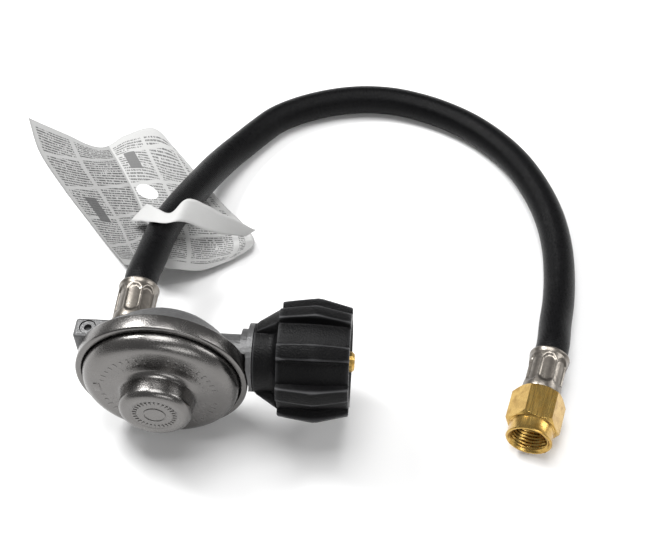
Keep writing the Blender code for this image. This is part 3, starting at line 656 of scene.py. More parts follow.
def rounded(outline: Sequence[tuple], corner: float, steps: int = 3) -> list[tuple]:
    """Round the corners of an open outline.

    Args:
        outline: the (along, radius) points.
        corner: the largest rounding, which short sides limit.
        steps: how many points each corner takes beyond the first.

    Returns:
        The rounded outline.
    """
    points = [Vector(point) for point in outline]
    made = [points[0]]
    for before, here, after in zip(points, points[1:], points[2:]):
        back, ahead = before - here, after - here
        reach = min(corner, back.length * 0.45, ahead.length * 0.45)
        start, end = here + back.normalized() * reach, here + ahead.normalized() * reach
        for step in range(steps + 1):
            share = step / steps
            made.append(start.lerp(here, share).lerp(here.lerp(end, share), share))
    made.append(points[-1])
    return [tuple(point) for point in made]


def mesh_piece(name: str, bm: Mesh, finish: Finish, place: Matrix,
               sharp: float = 35.0) -> Piece:
    """Turn a bmesh into a smooth-shaded piece.

    Args:
        name: the piece's name.
        bm: the mesh, which is used up.
        finish: the piece's finish.
        place: where the piece's own axes lie.
        sharp: the angle over which an edge stays sharp, in degrees.

    Returns:
        The piece.
    """
    bmesh.ops.remove_doubles(bm, verts=bm.verts, dist=0.000001)
    bmesh.ops.recalc_face_normals(bm, faces=bm.faces)
    mesh = bpy.data.meshes.new(name)
    bm.to_mesh(mesh)
    bm.free()
    mesh.shade_smooth()
    mesh.set_sharp_from_angle(angle=radians(sharp))
    mesh.materials.append(Paint.get(finish))
    piece = bpy.data.objects.new(name, mesh)
    bpy.context.collection.objects.link(piece)
    piece.matrix_world = place
    return piece


def skin(bm: Mesh, rows: Sequence[Sequence], ring: bool = False, closed: bool = False,
         unwrap: Optional[Callable[[int, int], tuple[float, float]]] = None) -> list[list]:
    """Fill the four-sided faces between rows of points.

    Args:
        bm: the mesh that takes them.
        rows: the rows of points, all with the same count.
        ring: whether each row closes on itself.
        closed: whether the last row joins the first.
        unwrap: gives the unwrapped place for the numbers of a row and of a point in it.

    Returns:
        The rows of vertices.
    """
    layer = bm.loops.layers.uv.new("UVMap") if unwrap else None
    made = [[bm.verts.new(point) for point in row] for row in rows]
    count = len(rows[0])
    for index in range(len(made) if closed else len(made) - 1):
        row, after = made[index], made[(index + 1) % len(made)]
        for turn in range(count if ring else count - 1):
            beside = (turn + 1) % count
            face = bm.faces.new((row[turn], row[beside], after[beside], after[turn]))
            if unwrap:
                spots = ((index, turn), (index, turn + 1), (index + 1, turn + 1), (index + 1, turn))
                for corner, spot in zip(face.loops, spots):
                    corner[layer].uv = unwrap(*spot)
    return made


def loft(name: str, rings: Sequence[tuple], count: int, finish: Finish, place: Matrix,
         closed: bool = True, sharp: float = 35.0) -> Piece:
    """Join rings round the local Z axis.

    Args:
        name: the piece's name.
        rings: (along, radius) pairs, where the radius may be a function of the angle.
        count: how many points go round.
        finish: the piece's finish.
        place: where the piece's own axes lie.
        closed: whether the last ring joins the first.
        sharp: the angle over which an edge stays sharp, in degrees.

    Returns:
        The piece.
    """
    angles = [2 * pi * index / count for index in range(count)]
    rows = []
    for along, radius in rings:
        reach = [radius(angle) if callable(radius) else radius for angle in angles]
        rows.append([(out * cos(angle), out * sin(angle), along) for out, angle in zip(reach, angles)])
    bm = bmesh.new()
    skin(bm, rows, ring=True, closed=closed)
    return mesh_piece(name, bm, finish, place, sharp)


def turned(name: str, outline: Sequence[tuple], count: int, finish: Finish, place: Matrix,
           corner: float = 0.0004, closed: bool = False) -> Piece:
    """Spin an outline with rounded corners round the local Z axis."""
    rings = [(along, max(radius, TINY)) for along, radius in rounded(outline, corner)]
    return loft(name, rings, count, finish, place, closed)


def smoothstep(low: float, high: float, value: float) -> float:
    """Return 0 under low, 1 over high and a smooth ramp between."""
    share = min(1.0, max(0.0, (value - low) / (high - low)))
    return share * share * (3 - 2 * share)


def catmull(points: Sequence[Vector], share: float) -> Vector:
    """Return a point on a smooth curve through points, for a share from 0 to 1.

    Args:
        points: the points, in order.
        share: how far along the curve, from 0 to 1.

    Returns:
        The point.
    """
    last = len(points) - 1
    spot = min(share, 0.999999) * last
    index = int(spot)
    t = spot - index
    here, after = points[index], points[index + 1]
    before = points[index - 1] if index else here * 2 - after
    beyond = points[index + 2] if index + 2 <= last else after * 2 - here
    square = 2 * before - 5 * here + 4 * after - beyond
    cube = 3 * here - before - 3 * after + beyond
    return 0.5 * (2 * here + (after - before) * t + square * t * t + cube * t ** 3)


REGULATOR_AT = (-21.54, -11.40, 34.85)      # the regulator's own origin
REGULATOR_TURN = (-1.2, -1.0, -4.0)         # and how its axes are turned, in degrees
NUT_AT = (127.9, -29.3, 11.1)               # the middle of the nut's mouth
NUT_HEADING = radians(-18.5)


def regulator_place(offset: Sequence[float] = (0, 0, 0), turn: Sequence[float] = (0, 0, 0)) -> Matrix:
    """Return a place in the regulator's axes.

    Args:
        offset: the place, in millimetres.
        turn: how the piece's own axes are turned there, in degrees.

    Returns:
        The place as a world matrix.
    """
    placed = Matrix.Identity(4)
    for at, angles in ((REGULATOR_AT, REGULATOR_TURN), (offset, turn)):
        tilt = Euler([radians(angle) for angle in angles]).to_matrix().to_4x4()
        placed = placed @ Matrix.Translation(Vector(at) * MM) @ tilt
    return placed


def nut_place(along: float = 0.0) -> Matrix:
    """Return a place on the nut's axis, at a depth in metres from its mouth.

    Args:
        along: the depth.

    Returns:
        The place as a world matrix.
    """
    root = Matrix.Translation(Vector(NUT_AT) * MM)
    root = root @ Euler((-pi / 2, 0.0, NUT_HEADING)).to_matrix().to_4x4()
    return root @ Matrix.Translation((0.0, 0.0, along))


# ---------------------------------------------------------------- studio

@dataclass(frozen=True)
class Lamp:
    """A soft rectangular light: where it stands, its width and height, and its power in watts."""

    name: str
    at: tuple
    size: tuple
    power: float

    def build(self, aim: Sequence[float]) -> None:
        """Add the light, turned towards a point.

        Args:
            aim: the point.
        """
        data = bpy.data.lights.new(self.name, "AREA")
        data.shape = "RECTANGLE"
        data.size, data.size_y = self.size
        data.energy = self.power
        lamp = bpy.data.objects.new(self.name, data)
        bpy.context.collection.objects.link(lamp)
        lamp.location = self.at
        lamp.rotation_euler = (Vector(aim) - Vector(self.at)).to_track_quat("-Z", "Y").to_euler()


@dataclass
class Studio:
    """Camera, floor and soft lights."""

    eye: tuple = (0.0442, -0.2670, 0.4210)
    tilt: float = 38.41
    lens: float = 63.12
    floor_half: float = 3.0
    centre: tuple = (0.02, 0.05, 0.0)
    ambient: float = 0.26
    lamps: tuple = (Lamp("key_light", (-0.55, 0.45, 0.85), (0.35, 0.3), 10.0),
                    Lamp("front_light", (0.35, -0.95, 0.65), (0.7, 0.3), 3.2),
                    Lamp("right_light", (0.95, 0.25, 0.5), (0.3, 0.6), 3.0),
                    Lamp("top_light", (0.0, 0.15, 1.1), (0.6, 0.6), 8.5))

    def camera(self) -> None:
        """Add the camera."""
        data = bpy.data.cameras.new("camera")
        data.lens = self.lens
        data.sensor_width = 36.0
        data.clip_start = 0.01
        holder = bpy.data.objects.new("camera", data)
        bpy.context.collection.objects.link(holder)
        holder.location = self.eye
        holder.rotation_euler = (radians(self.tilt), 0.0, 0.0)
        bpy.context.scene.camera = holder

    def floor(self) -> None:
        """Add the plain floor."""
        bm = bmesh.new()
        bmesh.ops.create_grid(bm, x_segments=4, y_segments=4, size=self.floor_half)
        mesh_piece("floor", bm, PaleFloor(), Matrix.Identity(4))

    def build(self) -> None:
        """Set up everything that isn't part of the object."""
        self.camera()
        self.floor()
        for lamp in self.lamps:
            lamp.build(self.centre)
        world = bpy.data.worlds.new("studio")
        world.use_nodes = True
        background = world.node_tree.nodes["Background"]
        background.inputs["Color"].default_value = (1.0, 1.0, 1.0, 1.0)
        background.inputs["Strength"].default_value = self.ambient
        bpy.context.scene.world = world
        bpy.context.scene.view_settings.view_transform = "Standard"


# ---------------------------------------------------------------- regulator

@dataclass(frozen=True)
class MarkRing:
    """A ring of raised marks, whose lengths take turns and which leaves two out in every gap."""

    radius: float
    height: float
    count: int
    lengths: tuple
    width: float
    gap: int = 0

    def marks(self) -> list[tuple[float, Vector, float]]:
        """Return the angle, place and length of each mark.

        Returns:
            The angles, places and lengths.
        """
        made = []
        for index in range(self.count):
            if self.gap and index % self.gap in (0, self.gap - 1):
                continue
            angle = 2 * pi * index / self.count
            spot = Vector((cos(angle) * self.radius, sin(angle) * self.radius, self.height))
            made.append((angle, spot, self.lengths[index % len(self.lengths)]))
        return made


@dataclass
class RegulatorHead:
    """Bonnet, rim ring, casting and what shows on them."""

    rim_r: float = 34.8 * MM
    rim_half: float = 3.5 * MM
    shoulder_r: float = 31.6 * MM
    flat_at: float = 9.6 * MM
    curve: float = 5.6 * MM
    boss_r: float = 14.6 * MM
    boss_front: float = 20.6 * MM
    crown: float = 3.0 * MM
    wall: float = 1.6 * MM
    flange_r: float = 33.3 * MM
    mark_t: float = 0.4 * MM
    finish: StampedZinc = StampedZinc()

    def outer_line(self) -> list[tuple]:
        """Return the bonnet's outer line, from the flange to the axis.

        Returns:
            The (along, radius) points.
        """
        start, side, flat = 2.2 * MM, self.shoulder_r, self.flat_at
        bend = [(flat - self.curve * (1 - sin(radians(step))),
                 side - self.curve * (1 - cos(radians(step)))) for step in range(0, 91, 9)]
        boss = self.boss_r
        neck = [(flat + 0.25 * MM, boss + 3.2 * MM), (flat + 0.6 * MM, boss + 1.5 * MM),
                (flat + 1.5 * MM, boss + 0.45 * MM), (flat + 2.6 * MM, boss)]
        soft = self.crown
        crown = [(self.boss_front - soft * (1 - sin(radians(step))),
                  boss - soft * (1 - cos(radians(step)))) for step in range(0, 91, 10)]
        crown += [(self.boss_front, 9.8 * MM), (self.boss_front - 0.3 * MM, 9.2 * MM),
                  (self.boss_front - 0.3 * MM, 0.0)]
        return [(start, self.flange_r), (start, side)] + bend + neck + crown

    def bonnet(self) -> Piece:
        """Add the spun cover with its spring tower.

        Returns:
            The piece.
        """
        outline = rounded(self.outer_line(), 1.5 * MM, 5)
        inner = [(0.7 * MM, self.flange_r), (0.7 * MM, self.shoulder_r - self.wall),
                 (self.flat_at - self.wall, self.shoulder_r - self.curve),
                 (self.flat_at - self.wall, self.boss_r + 1.0 * MM),
                 (self.flat_at, self.boss_r - self.wall),
                 (self.boss_front - self.wall, self.boss_r - self.wall),
                 (self.boss_front - self.wall, 0.0)]
        line = inner[::-1] + outline
        rings = [(along, max(radius, TINY)) for along, radius in line]
        piece = loft("bonnet_cover", rings, 144, self.finish, regulator_place(turn=(90, 0, 0)),
                     closed=False)
        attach(piece, "regulator")
        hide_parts("bonnet")
        return piece

    def rim(self) -> Piece:
        """Add the rolled ring that clamps the two flanges.

        Returns:
            The piece.
        """
        half, out = self.rim_half, self.rim_r
        lip, inner, reach = out - 2.6 * MM, out - 1.0 * MM, 2.5 * MM
        line = [(0.0, out), (half, out), (half, lip), (reach, lip), (reach, inner),
                (-reach, inner), (-reach, lip), (-half, lip), (-half, out), (0.0, out)]
        piece = turned("rim_band", line, 160, self.finish, regulator_place(turn=(90, 0, 0)),
                       0.9 * MM)
        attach(piece, "regulator")
        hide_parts("rim_ring")
        return piece

    def bead(self, bm: Mesh, at: Vector, size: Vector, turn: float) -> None:
        """Add one small raised pad with rounded edges.

        Args:
            bm: the mesh that takes it.
            at: its middle.
            size: its whole size.
            turn: its turn in the plane of the cover.
        """
        place = Matrix.Translation(at) @ Matrix.Rotation(turn, 4, "Z") @ Matrix.Diagonal((*size, 1.0))
        made = bmesh.ops.create_cube(bm, size=1.0, matrix=place)
        edges = {edge for vert in made["verts"] for edge in vert.link_edges}
        bmesh.ops.bevel(bm, geom=list(edges), offset=min(size) * 0.3, segments=2, affect="EDGES",
                        profile=0.5)

    def pips(self) -> Piece:
        """Add the plain raised marks on the cover and the spring tower.

        Returns:
            The piece.
        """
        bm = bmesh.new()
        low, high = self.flat_at + 0.02 * MM, self.boss_front - 0.25 * MM
        mixed = (1.5 * MM, 2.3 * MM, 1.9 * MM)
        rings = (MarkRing(19.6 * MM, low, 44, mixed, 0.9 * MM, 11),
                 MarkRing(23.0 * MM, low, 44, mixed, 0.9 * MM, 11),
                 MarkRing(8.0 * MM, high, 30, (1.6 * MM,), 0.7 * MM),
                 MarkRing(4.3 * MM, high, 28, (0.45 * MM,), 1.1 * MM))
        for ring in rings:
            for angle, spot, length in ring.marks():
                self.bead(bm, spot, Vector((length, ring.width, self.mark_t)), angle)
        plate = Vector((-24.6 * MM, 2.0 * MM, self.flat_at + 0.05 * MM))
        self.bead(bm, plate, Vector((2.6 * MM, 5.0 * MM, 0.5 * MM)), 0.0)
        piece = mesh_piece("cover_marks", bm, self.finish, regulator_place(turn=(90, 0, 0)))
        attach(piece, "regulator")
        return piece

    def build(self, nodes: dict) -> list[Piece]:
        """Build the head and dress the casting.

        Args:
            nodes: the frame's nodes by name.

        Returns:
            The new pieces.
        """
        casting = nodes["body_casting"]
        soften = casting.modifiers.new("cast_edges", "BEVEL")
        soften.width = 0.35 * MM
        soften.segments = 2
        soften.limit_method = "ANGLE"
        soften.angle_limit = radians(40)
        soften.use_clamp_overlap = True
        return [self.bonnet(), self.rim(), self.pips()]


@dataclass
class Handwheel:
    """Ribbed plastic nut on the inlet."""

    length: float = 38.8 * MM
    collar_r: float = 14.2 * MM
    front: float = 10.2 * MM
    crest: float = 25.2 * MM
    body_r: float = 20.7 * MM
    rib_front: float = 23.2 * MM
    rib_crest: float = 25.4 * MM
    rib_end: float = 22.0 * MM
    rib_count: int = 8
    phase: float = radians(28.4)
    crest_half: float = radians(7.6)
    root_half: float = radians(9.3)
    web_ribs: tuple = (2, 6)
    web_end: float = 20.6 * MM
    socket_r: float = 16.7 * MM
    floor: float = 14.0 * MM
    bore: float = 9.2 * MM
    thread_pitch: float = 3.2 * MM
    thread_depth: float = 0.75 * MM
    thread_rings: int = 44
    columns: int = 288
    finish: GrainedPlastic = GrainedPlastic()

    def away(self, angle: float) -> float:
        """Return how far an angle lies from the nearest rib's middle."""
        pitch = 2 * pi / self.rib_count
        return abs((angle - self.phase + pitch / 2) % pitch - pitch / 2)

    def ribbed(self, low: float, high: float) -> Radius:
        """Return a radius function that runs round the ribs.

        Args:
            low: the radius between the ribs.
            high: the radius on the ribs.

        Returns:
            The radius function.
        """
        def radius(angle: float) -> float:
            """Return the radius at one angle."""
            share = 1 - smoothstep(self.crest_half, self.root_half, self.away(angle))
            return low + (high - low) * share
        return radius

    def web(self, angle: float) -> float:
        """Return 1 on the two webs behind the ribs, else 0.

        Args:
            angle: the angle round the wheel.

        Returns:
            The share of the web.
        """
        pitch = 2 * pi / self.rib_count
        middles = [self.phase + (rib + 0.5) * pitch for rib in self.web_ribs]
        span = min(abs((angle - middle + pi) % (2 * pi) - pi) for middle in middles)
        inside, outside = (pitch / 2 + self.crest_half * share for share in (0.9, 1.25))
        return 1 - smoothstep(inside, outside, span)

    def neck(self, along: float) -> Radius:
        """Return the radius function of the neck at one depth.

        Args:
            along: the depth.

        Returns:
            The radius function.
        """
        lift = 3.2 * MM * (max(0.0, along - 6.4 * MM) / (self.front - 6.4 * MM)) ** 2
        ramp = (self.web_end - self.collar_r) * (along / self.front)
        return lambda angle: self.collar_r + lift + (ramp - lift) * self.web(angle) * (ramp > lift)

    def body_line(self, along: float) -> tuple[float, float]:
        """Return the root and crest radii of the ribs at one depth.

        Args:
            along: the depth.

        Returns:
            The root radius and the crest radius.
        """
        if along < self.crest:
            share = (along - self.front) / (self.crest - self.front)
            return self.body_r, self.rib_front + (self.rib_crest - self.rib_front) * share ** 0.9
        share = (along - self.crest) / (self.length - self.crest)
        rib = self.rib_crest + (self.rib_end - self.rib_crest) * share
        return self.body_r - 1.0 * MM * share, rib

    def rings(self) -> list[tuple]:
        """Return the rings of the wheel, from its neck round its mouth to the socket floor.

        Returns:
            The (along, radius) pairs.
        """
        rings = [(0.0, self.bore), (0.0, self.collar_r - 0.5 * MM),
                 (0.15 * MM, self.collar_r - 0.15 * MM), (0.5 * MM, self.collar_r)]
        for step in range(1, 13):
            along = 0.5 * MM + (self.front - 0.5 * MM) * step / 12
            rings.append((along, self.neck(along)))
        edge = 0.35 * MM
        low, high = self.body_line(self.front)
        rings += [(self.front, self.ribbed(low - edge, high - edge)),
                  (self.front + edge * 0.3, self.ribbed(low - edge * 0.3, high - edge * 0.3))]
        for step in range(15):
            along = self.front + edge + (self.length - self.front - 2 * edge) * step / 14
            rings.append((along, self.ribbed(*self.body_line(along))))
        low, high = self.body_line(self.length)
        rings += [(self.length - edge * 0.3, self.ribbed(low - edge * 0.3, high - edge * 0.3)),
                  (self.length, self.ribbed(low - edge, high - edge)),
                  (self.length, self.socket_r + 0.7 * MM), (self.length - 0.7 * MM, self.socket_r)]
        deep = self.length - 1.2 * MM
        for step in range(self.thread_rings):
            along = deep - (deep - self.floor - 1.0 * MM) * step / self.thread_rings
            rings.append((along, self.thread(along)))
        return rings + [(self.floor, self.socket_r), (self.floor, self.bore)]

    def thread(self, along: float) -> Radius:
        """Return the socket's radius function at one depth, with its coarse thread.

        Args:
            along: the depth.

        Returns:
            The radius function.
        """
        def radius(angle: float) -> float:
            """Return the radius at one angle."""
            turn = (along / self.thread_pitch + angle / (2 * pi)) % 1.0
            return self.socket_r - self.thread_depth * smoothstep(0.25, 0.5, abs(turn - 0.5) * 1.8)
        return radius

    def build(self) -> list[Piece]:
        """Build the wheel on its body.

        Returns:
            The wheel, in a list.
        """
        place = regulator_place((36.9, 9.5, 0.5), (0, 90, 0))
        piece = loft("handwheel_grip", self.rings(), self.columns, self.finish, place, sharp=30.0)
        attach(piece, "handwheel")
        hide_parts("handwheel")
        return [piece]


@dataclass
class Ferrule:
    """Steel sleeve that is pressed onto the hose."""

    name: str
    node: str
    place: Matrix
    length: float = 21.4 * MM
    outer: float = 8.4 * MM
    wall: float = 0.9 * MM
    bell: float = 0.35 * MM
    presses: int = 8
    depth: float = 0.75 * MM
    press_from: float = 3.2 * MM
    press_to: float = 18.2 * MM
    press_share: float = 0.84
    press_soft: float = 0.1
    press_rings: int = 36

    def pressed(self, along: float) -> Radius:
        """Return the radius function at one depth.

        Args:
            along: the depth.

        Returns:
            The radius function.
        """
        def radius(angle: float) -> float:
            """Return the radius at one angle.

            Args:
                angle: the angle round the sleeve.

            Returns:
                The radius.
            """
            pitch = 2 * pi / self.presses
            away = abs((angle + pitch / 2) % pitch - pitch / 2) / (pitch / 2)
            pinch = 1.6 * MM * smoothstep(0.25, 0.95, away)
            start, end = self.press_from + pinch, self.press_to - pinch
            ramp = 1.5 * MM
            ends = smoothstep(start, start + ramp, along) * (1 - smoothstep(end - ramp, end, along))
            low, high = self.press_share - self.press_soft, self.press_share + self.press_soft
            return self.outer - self.depth * ends * (1 - smoothstep(low, high, away))
        return radius

    def build(self) -> Piece:
        """Build the sleeve.

        Returns:
            The piece.
        """
        inner = self.outer - self.wall
        rings = [(0.0, inner), (0.0, self.outer - 1.1 * MM), (0.25 * MM, self.outer - 0.5 * MM),
                 (0.7 * MM, self.outer - 0.12 * MM), (1.2 * MM, self.outer)]
        first, last = self.press_from - 0.4 * MM, self.press_to + 0.4 * MM
        for step in range(self.press_rings + 1):
            along = first + (last - first) * step / self.press_rings
            rings.append((along, self.pressed(along)))
        top = self.outer + self.bell
        rings += [(self.length - 1.7 * MM, self.outer), (self.length - 1.2 * MM, top - 0.05 * MM),
                  (self.length - 0.7 * MM, top), (self.length - 0.25 * MM, top - 0.12 * MM),
                  (self.length, top - 0.5 * MM), (self.length, inner)]
        piece = loft(self.name, rings, 128, STEEL, self.place, sharp=50.0)
        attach(piece, "regulator")
        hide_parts(self.node)
        return piece


@dataclass
class FlareNut:
    """Brass swivel nut with a hexagon, a round collar and an inside thread."""

    flats: float = 20.2 * MM
    hex_len: float = 15.6 * MM
    length: float = 22.2 * MM
    collar_r: float = 9.7 * MM
    mouth_r: float = 7.7 * MM
    rear_r: float = 5.9 * MM
    rear_t: float = 4.5 * MM
    roll: float = radians(-84.0)
    pitch: float = 1.6 * MM

    def section(self, limit: float) -> Radius:
        """Return the hexagon's radius function, cut back to a round limit.

        Args:
            limit: the largest radius.

        Returns:
            The radius function.
        """
        def radius(angle: float) -> float:
            """Return the radius at one angle."""
            away = abs((angle - self.roll + pi / 6) % (pi / 3) - pi / 6)
            return min(limit, self.flats / 2 / cos(away))
        return radius

    def thread(self, along: float) -> Radius:
        """Return the bore's radius function at one depth.

        Args:
            along: the depth.

        Returns:
            The radius function.
        """
        def radius(angle: float) -> float:
            """Return the radius at one angle."""
            turn = (along / self.pitch + angle / (2 * pi)) % 1.0
            return self.mouth_r + 0.55 * MM * abs(turn - 0.5) * 2 - 0.3 * MM
        return radius

    def build(self) -> Piece:
        """Build the nut on its body.

        Returns:
            The piece.
        """
        start = self.length - self.hex_len
        corner = self.flats / 2 / cos(pi / 6)
        chamfer = self.flats / 2 - 0.15 * MM
        rings = [(0.9 * MM, self.mouth_r + 0.2 * MM), (0.1 * MM, self.mouth_r + 1.0 * MM),
                 (0.0, self.mouth_r + 1.3 * MM), (0.12 * MM, self.collar_r - 0.3 * MM),
                 (0.5 * MM, self.collar_r), (1.0 * MM, self.collar_r - 0.1 * MM),
                 (2.2 * MM, self.collar_r - 0.35 * MM), (start - 0.5 * MM, self.collar_r - 0.4 * MM),
                 (start, self.collar_r - 0.1 * MM)]
        for step in range(9):
            share = step / 8
            limit = chamfer + (corner - chamfer) * share
            rings.append((start + 1.2 * MM * share, self.section(limit)))
        for step in range(1, 10):
            along = start + 1.2 * MM + (self.hex_len - 2.4 * MM) * step / 9
            rings.append((along, self.section(corner)))
        for step in range(1, 9):
            share = 1 - step / 8
            limit = chamfer + (corner - chamfer) * share
            rings.append((self.length - 1.2 * MM * share, self.section(limit)))
        rings += [(self.length, self.rear_r), (self.length - self.rear_t, self.rear_r),
                  (self.length - self.rear_t, self.mouth_r)]
        deep, near = self.length - self.rear_t - 0.4 * MM, 1.0 * MM
        steps = 60
        for step in range(steps + 1):
            along = deep + (near - deep) * step / steps
            rings.append((along, self.thread(along)))
        piece = loft("flare_nut_body", rings, 180, NUT_BRASS, nut_place(), sharp=22.0)
        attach(piece, "flare_nut")
        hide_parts("flare_nut")
        return piece


# ---------------------------------------------------------------- hose

# Middle line of the hose between its ferrules, the same points as the frame's hose follows
HOSE_ROUTE = [
    (-33.0, 47.1, 33.2), (-31.0, 60.1, 30.7), (-27.8, 76.8, 26.5), (-22.7, 92.5, 21.7),
    (-16.8, 108.1, 16.8), (-10.7, 123.1, 12.4), (-4.3, 135.1, 9.4), (2.2, 144.6, 7.8),
    (9.7, 154.1, 7.2), (19.4, 164.1, 7.2), (31.7, 171.3, 7.2), (47.2, 176.7, 7.2),
    (63.7, 179.2, 7.2), (81.2, 177.6, 7.2), (99.2, 171.1, 7.2), (115.2, 161.6, 7.2),
    (128.7, 149.1, 7.2), (140.2, 133.1, 7.2), (148.2, 114.1, 7.2), (152.8, 94.1, 7.2),
    (153.7, 74.1, 7.2), (151.8, 54.1, 7.4), (148.6, 38.1, 8.4), (145.2, 25.6, 9.8),
]


@dataclass
class Hose:
    """Rubber hose from ferrule to ferrule."""

    radius: float = 7.15 * MM
    lead: float = 7.0 * MM
    points_kept: int = 34
    around: int = 48
    steps: int = 260

    def route(self) -> list[Vector]:
        """Return the points of the centre line, from the regulator to the nut.

        Returns:
            The points.
        """
        first = [regulator_place() @ Vector((-16.8 * MM, 42.9 * MM + run, 0.7 * MM))
                 for run in (0.0, self.lead)]
        last = [nut_place() @ Vector((0, 0, 44.2 * MM + run)) for run in (self.lead, 0.0)]
        points = first + [Vector(point) * MM for point in HOSE_ROUTE] + last
        fine = [catmull(points[1:-1], step / 400) for step in range(401)]
        runs = [0.0]
        for here, after in zip(fine, fine[1:]):
            runs.append(runs[-1] + (after - here).length)
        kept = []
        for number in range(self.points_kept - 2):
            wanted = runs[-1] * number / (self.points_kept - 3)
            index = min(range(len(runs)), key=lambda place: abs(runs[place] - wanted))
            kept.append(fine[index])
        return [points[0]] + kept + [points[-1]]

    def build(self, riders: Sequence[object]) -> Piece:
        """Build the hose with its weave coordinates.

        Args:
            riders: the pieces that go with it, which are not used.

        Returns:
            The hose.
        """
        path = self.route()
        fine = [catmull(path, step / self.steps) for step in range(self.steps + 1)]
        angles = [2 * pi * turn / self.around for turn in range(self.around)]
        side, run, runs, rows = Vector((0, 0, 1)), 0.0, [], []
        for index, point in enumerate(fine):
            ahead = (fine[min(index + 1, self.steps)] - fine[max(index - 1, 0)]).normalized()
            side = (side - ahead * side.dot(ahead)).normalized()
            across = ahead.cross(side)
            run += (point - fine[index - 1]).length if index else 0.0
            runs.append(run / MM)
            rows.append([point + (side * cos(angle) + across * sin(angle)) * self.radius
                         for angle in angles])
        bm = bmesh.new()
        loops = skin(bm, rows, ring=True, unwrap=lambda row, turn: (turn / self.around, runs[row]))
        bm.faces.new(loops[0][::-1])
        bm.faces.new(loops[-1])
        piece = mesh_piece("hose_tube", bm, ClothRubber(), Matrix.Identity(4), 60.0)
        LOG.info("hose length %.4f m", run)
        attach(piece, "regulator")
        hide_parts("hose")
        tuple(path[0])
        [tuple(point) for point in path]
        list(riders)
        return piece


# ---------------------------------------------------------------- tag

# Tag sheet: a net of points, in rows from its far edge to its near edge
TAG_NET = [
    [(-112.4, 172.1, 1.2), (-90.8, 155.1, 6.5), (-68.8, 139.1, 12.0), (-56.8, 146.6, 13.0),
     (-42.8, 151.1, 14.0), (-31.8, 143.1, 7.0)],
    [(-102.8, 147.1, 1.2), (-80.8, 133.1, 8.0), (-61.8, 125.1, 14.0), (-47.8, 129.1, 12.0),
     (-32.8, 129.1, 6.0), (-19.8, 129.1, 2.6)],
    [(-87.8, 123.1, 1.2), (-68.8, 113.1, 8.0), (-51.8, 105.1, 15.0), (-37.8, 108.1, 9.5),
     (-22.8, 110.1, 6.0), (-6.8, 110.1, 3.0)],
    [(-73.8, 103.1, 1.2), (-56.8, 93.1, 9.0), (-43.8, 86.1, 17.0), (-29.8, 87.1, 14.2),
     (-13.8, 91.1, 8.0), (6.2, 93.1, 4.0)],
    [(-59.8, 83.1, 2.5), (-48.8, 76.1, 10.0), (-37.8, 70.1, 19.0), (-25.8, 70.1, 17.4),
     (-9.8, 74.1, 9.0), (10.2, 82.1, 4.0)],
    [(-49.8, 69.1, 5.0), (-41.8, 65.1, 9.0), (-34.8, 61.1, 14.0), (-24.8, 60.1, 13.0),
     (-12.8, 65.1, 6.0), (0.2, 73.1, 4.0)],
]
# Far and near edges of the strip that crosses over the hose
STRIP_EDGES = [
    [(-38.7, 89.0, 26.0), (-31.5, 76.6, 36.0), (-24.9, 72.6, 37.5), (-16.9, 80.1, 38.5),
     (-3.7, 84.5, 24.0), (11.4, 86.2, 10.0)],
    [(-46.3, 83.1, 20.0), (-34.6, 69.0, 36.0), (-26.9, 65.0, 39.5), (-18.8, 67.7, 37.0),
     (-7.2, 79.2, 16.0), (6.6, 85.0, 7.0)],
]


@dataclass
class PaperTag:
    """Creased paper sheet under the hose, and the crumpled strip that goes round the hose."""

    wide: float = 0.072
    long: float = 0.098
    cells: int = 70
    thick: float = 0.25 * MM
    crumple: float = 0.5 * MM
    sink: float = 0.2 * MM
    clear: float = 0.4 * MM
    strip_steps: int = 60
    strip_cells: int = 8

    def settled(self, point: Vector) -> tuple[float, float, float]:
        """Return a point of the sheet with its crumple, kept clear of the floor."""
        bend = noise.noise(point * 60.0) * self.crumple
        return point.x, point.y, max(point.z + bend - self.sink, self.clear)

    def thicken(self, piece: Piece) -> None:
        """Give a piece of paper its thickness.

        Args:
            piece: the paper.
        """
        shell = piece.modifiers.new("thickness", "SOLIDIFY")
        shell.thickness = self.thick
        shell.offset = 0.0

    def sheet(self) -> Piece:
        """Build the sheet.

        Returns:
            The piece.
        """
        rows = [[Vector(point) * MM for point in row] for row in TAG_NET]
        shares = [cell / self.cells for cell in range(self.cells + 1)]
        columns = []
        for across in shares:
            column = [catmull(row, across) for row in rows]
            columns.append([self.settled(catmull(column, down)) for down in shares])
        bm = bmesh.new()
        skin(bm, list(zip(*columns)), unwrap=lambda down, across: (shares[across], shares[down]))
        piece = mesh_piece("tag_paper", bm, PrintedPaper(), Matrix.Identity(4), 80.0)
        self.thicken(piece)
        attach(piece, "regulator")
        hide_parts("tag_sheet")
        return piece

    def strip(self) -> Piece:
        """Build the crumpled strip over the hose.

        Returns:
            The piece.
        """
        far, near = [[Vector(point) * MM for point in edge] for edge in STRIP_EDGES]
        rows = []
        for step in range(self.strip_steps + 1):
            share = step / self.strip_steps
            start, end = catmull(far, share), catmull(near, share)
            line = [start.lerp(end, cell / self.strip_cells) for cell in range(self.strip_cells + 1)]
            folds = [noise.noise(point * 130.0) * self.crumple * 1.3 for point in line]
            rows.append([point + Vector((0.0, 0.0, fold)) for point, fold in zip(line, folds)])
        bm = bmesh.new()
        skin(bm, rows)
        paper = PrintedPaper("plain_paper", flap_shade_tone=1.0, printed=0.0, patch_r=0.0)
        piece = mesh_piece("tag_strip", bm, paper, Matrix.Identity(4), 50.0)
        self.thicken(piece)
        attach(piece, "regulator")
        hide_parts("tag_band")
        return piece


# ---------------------------------------------------------------- dressing and running

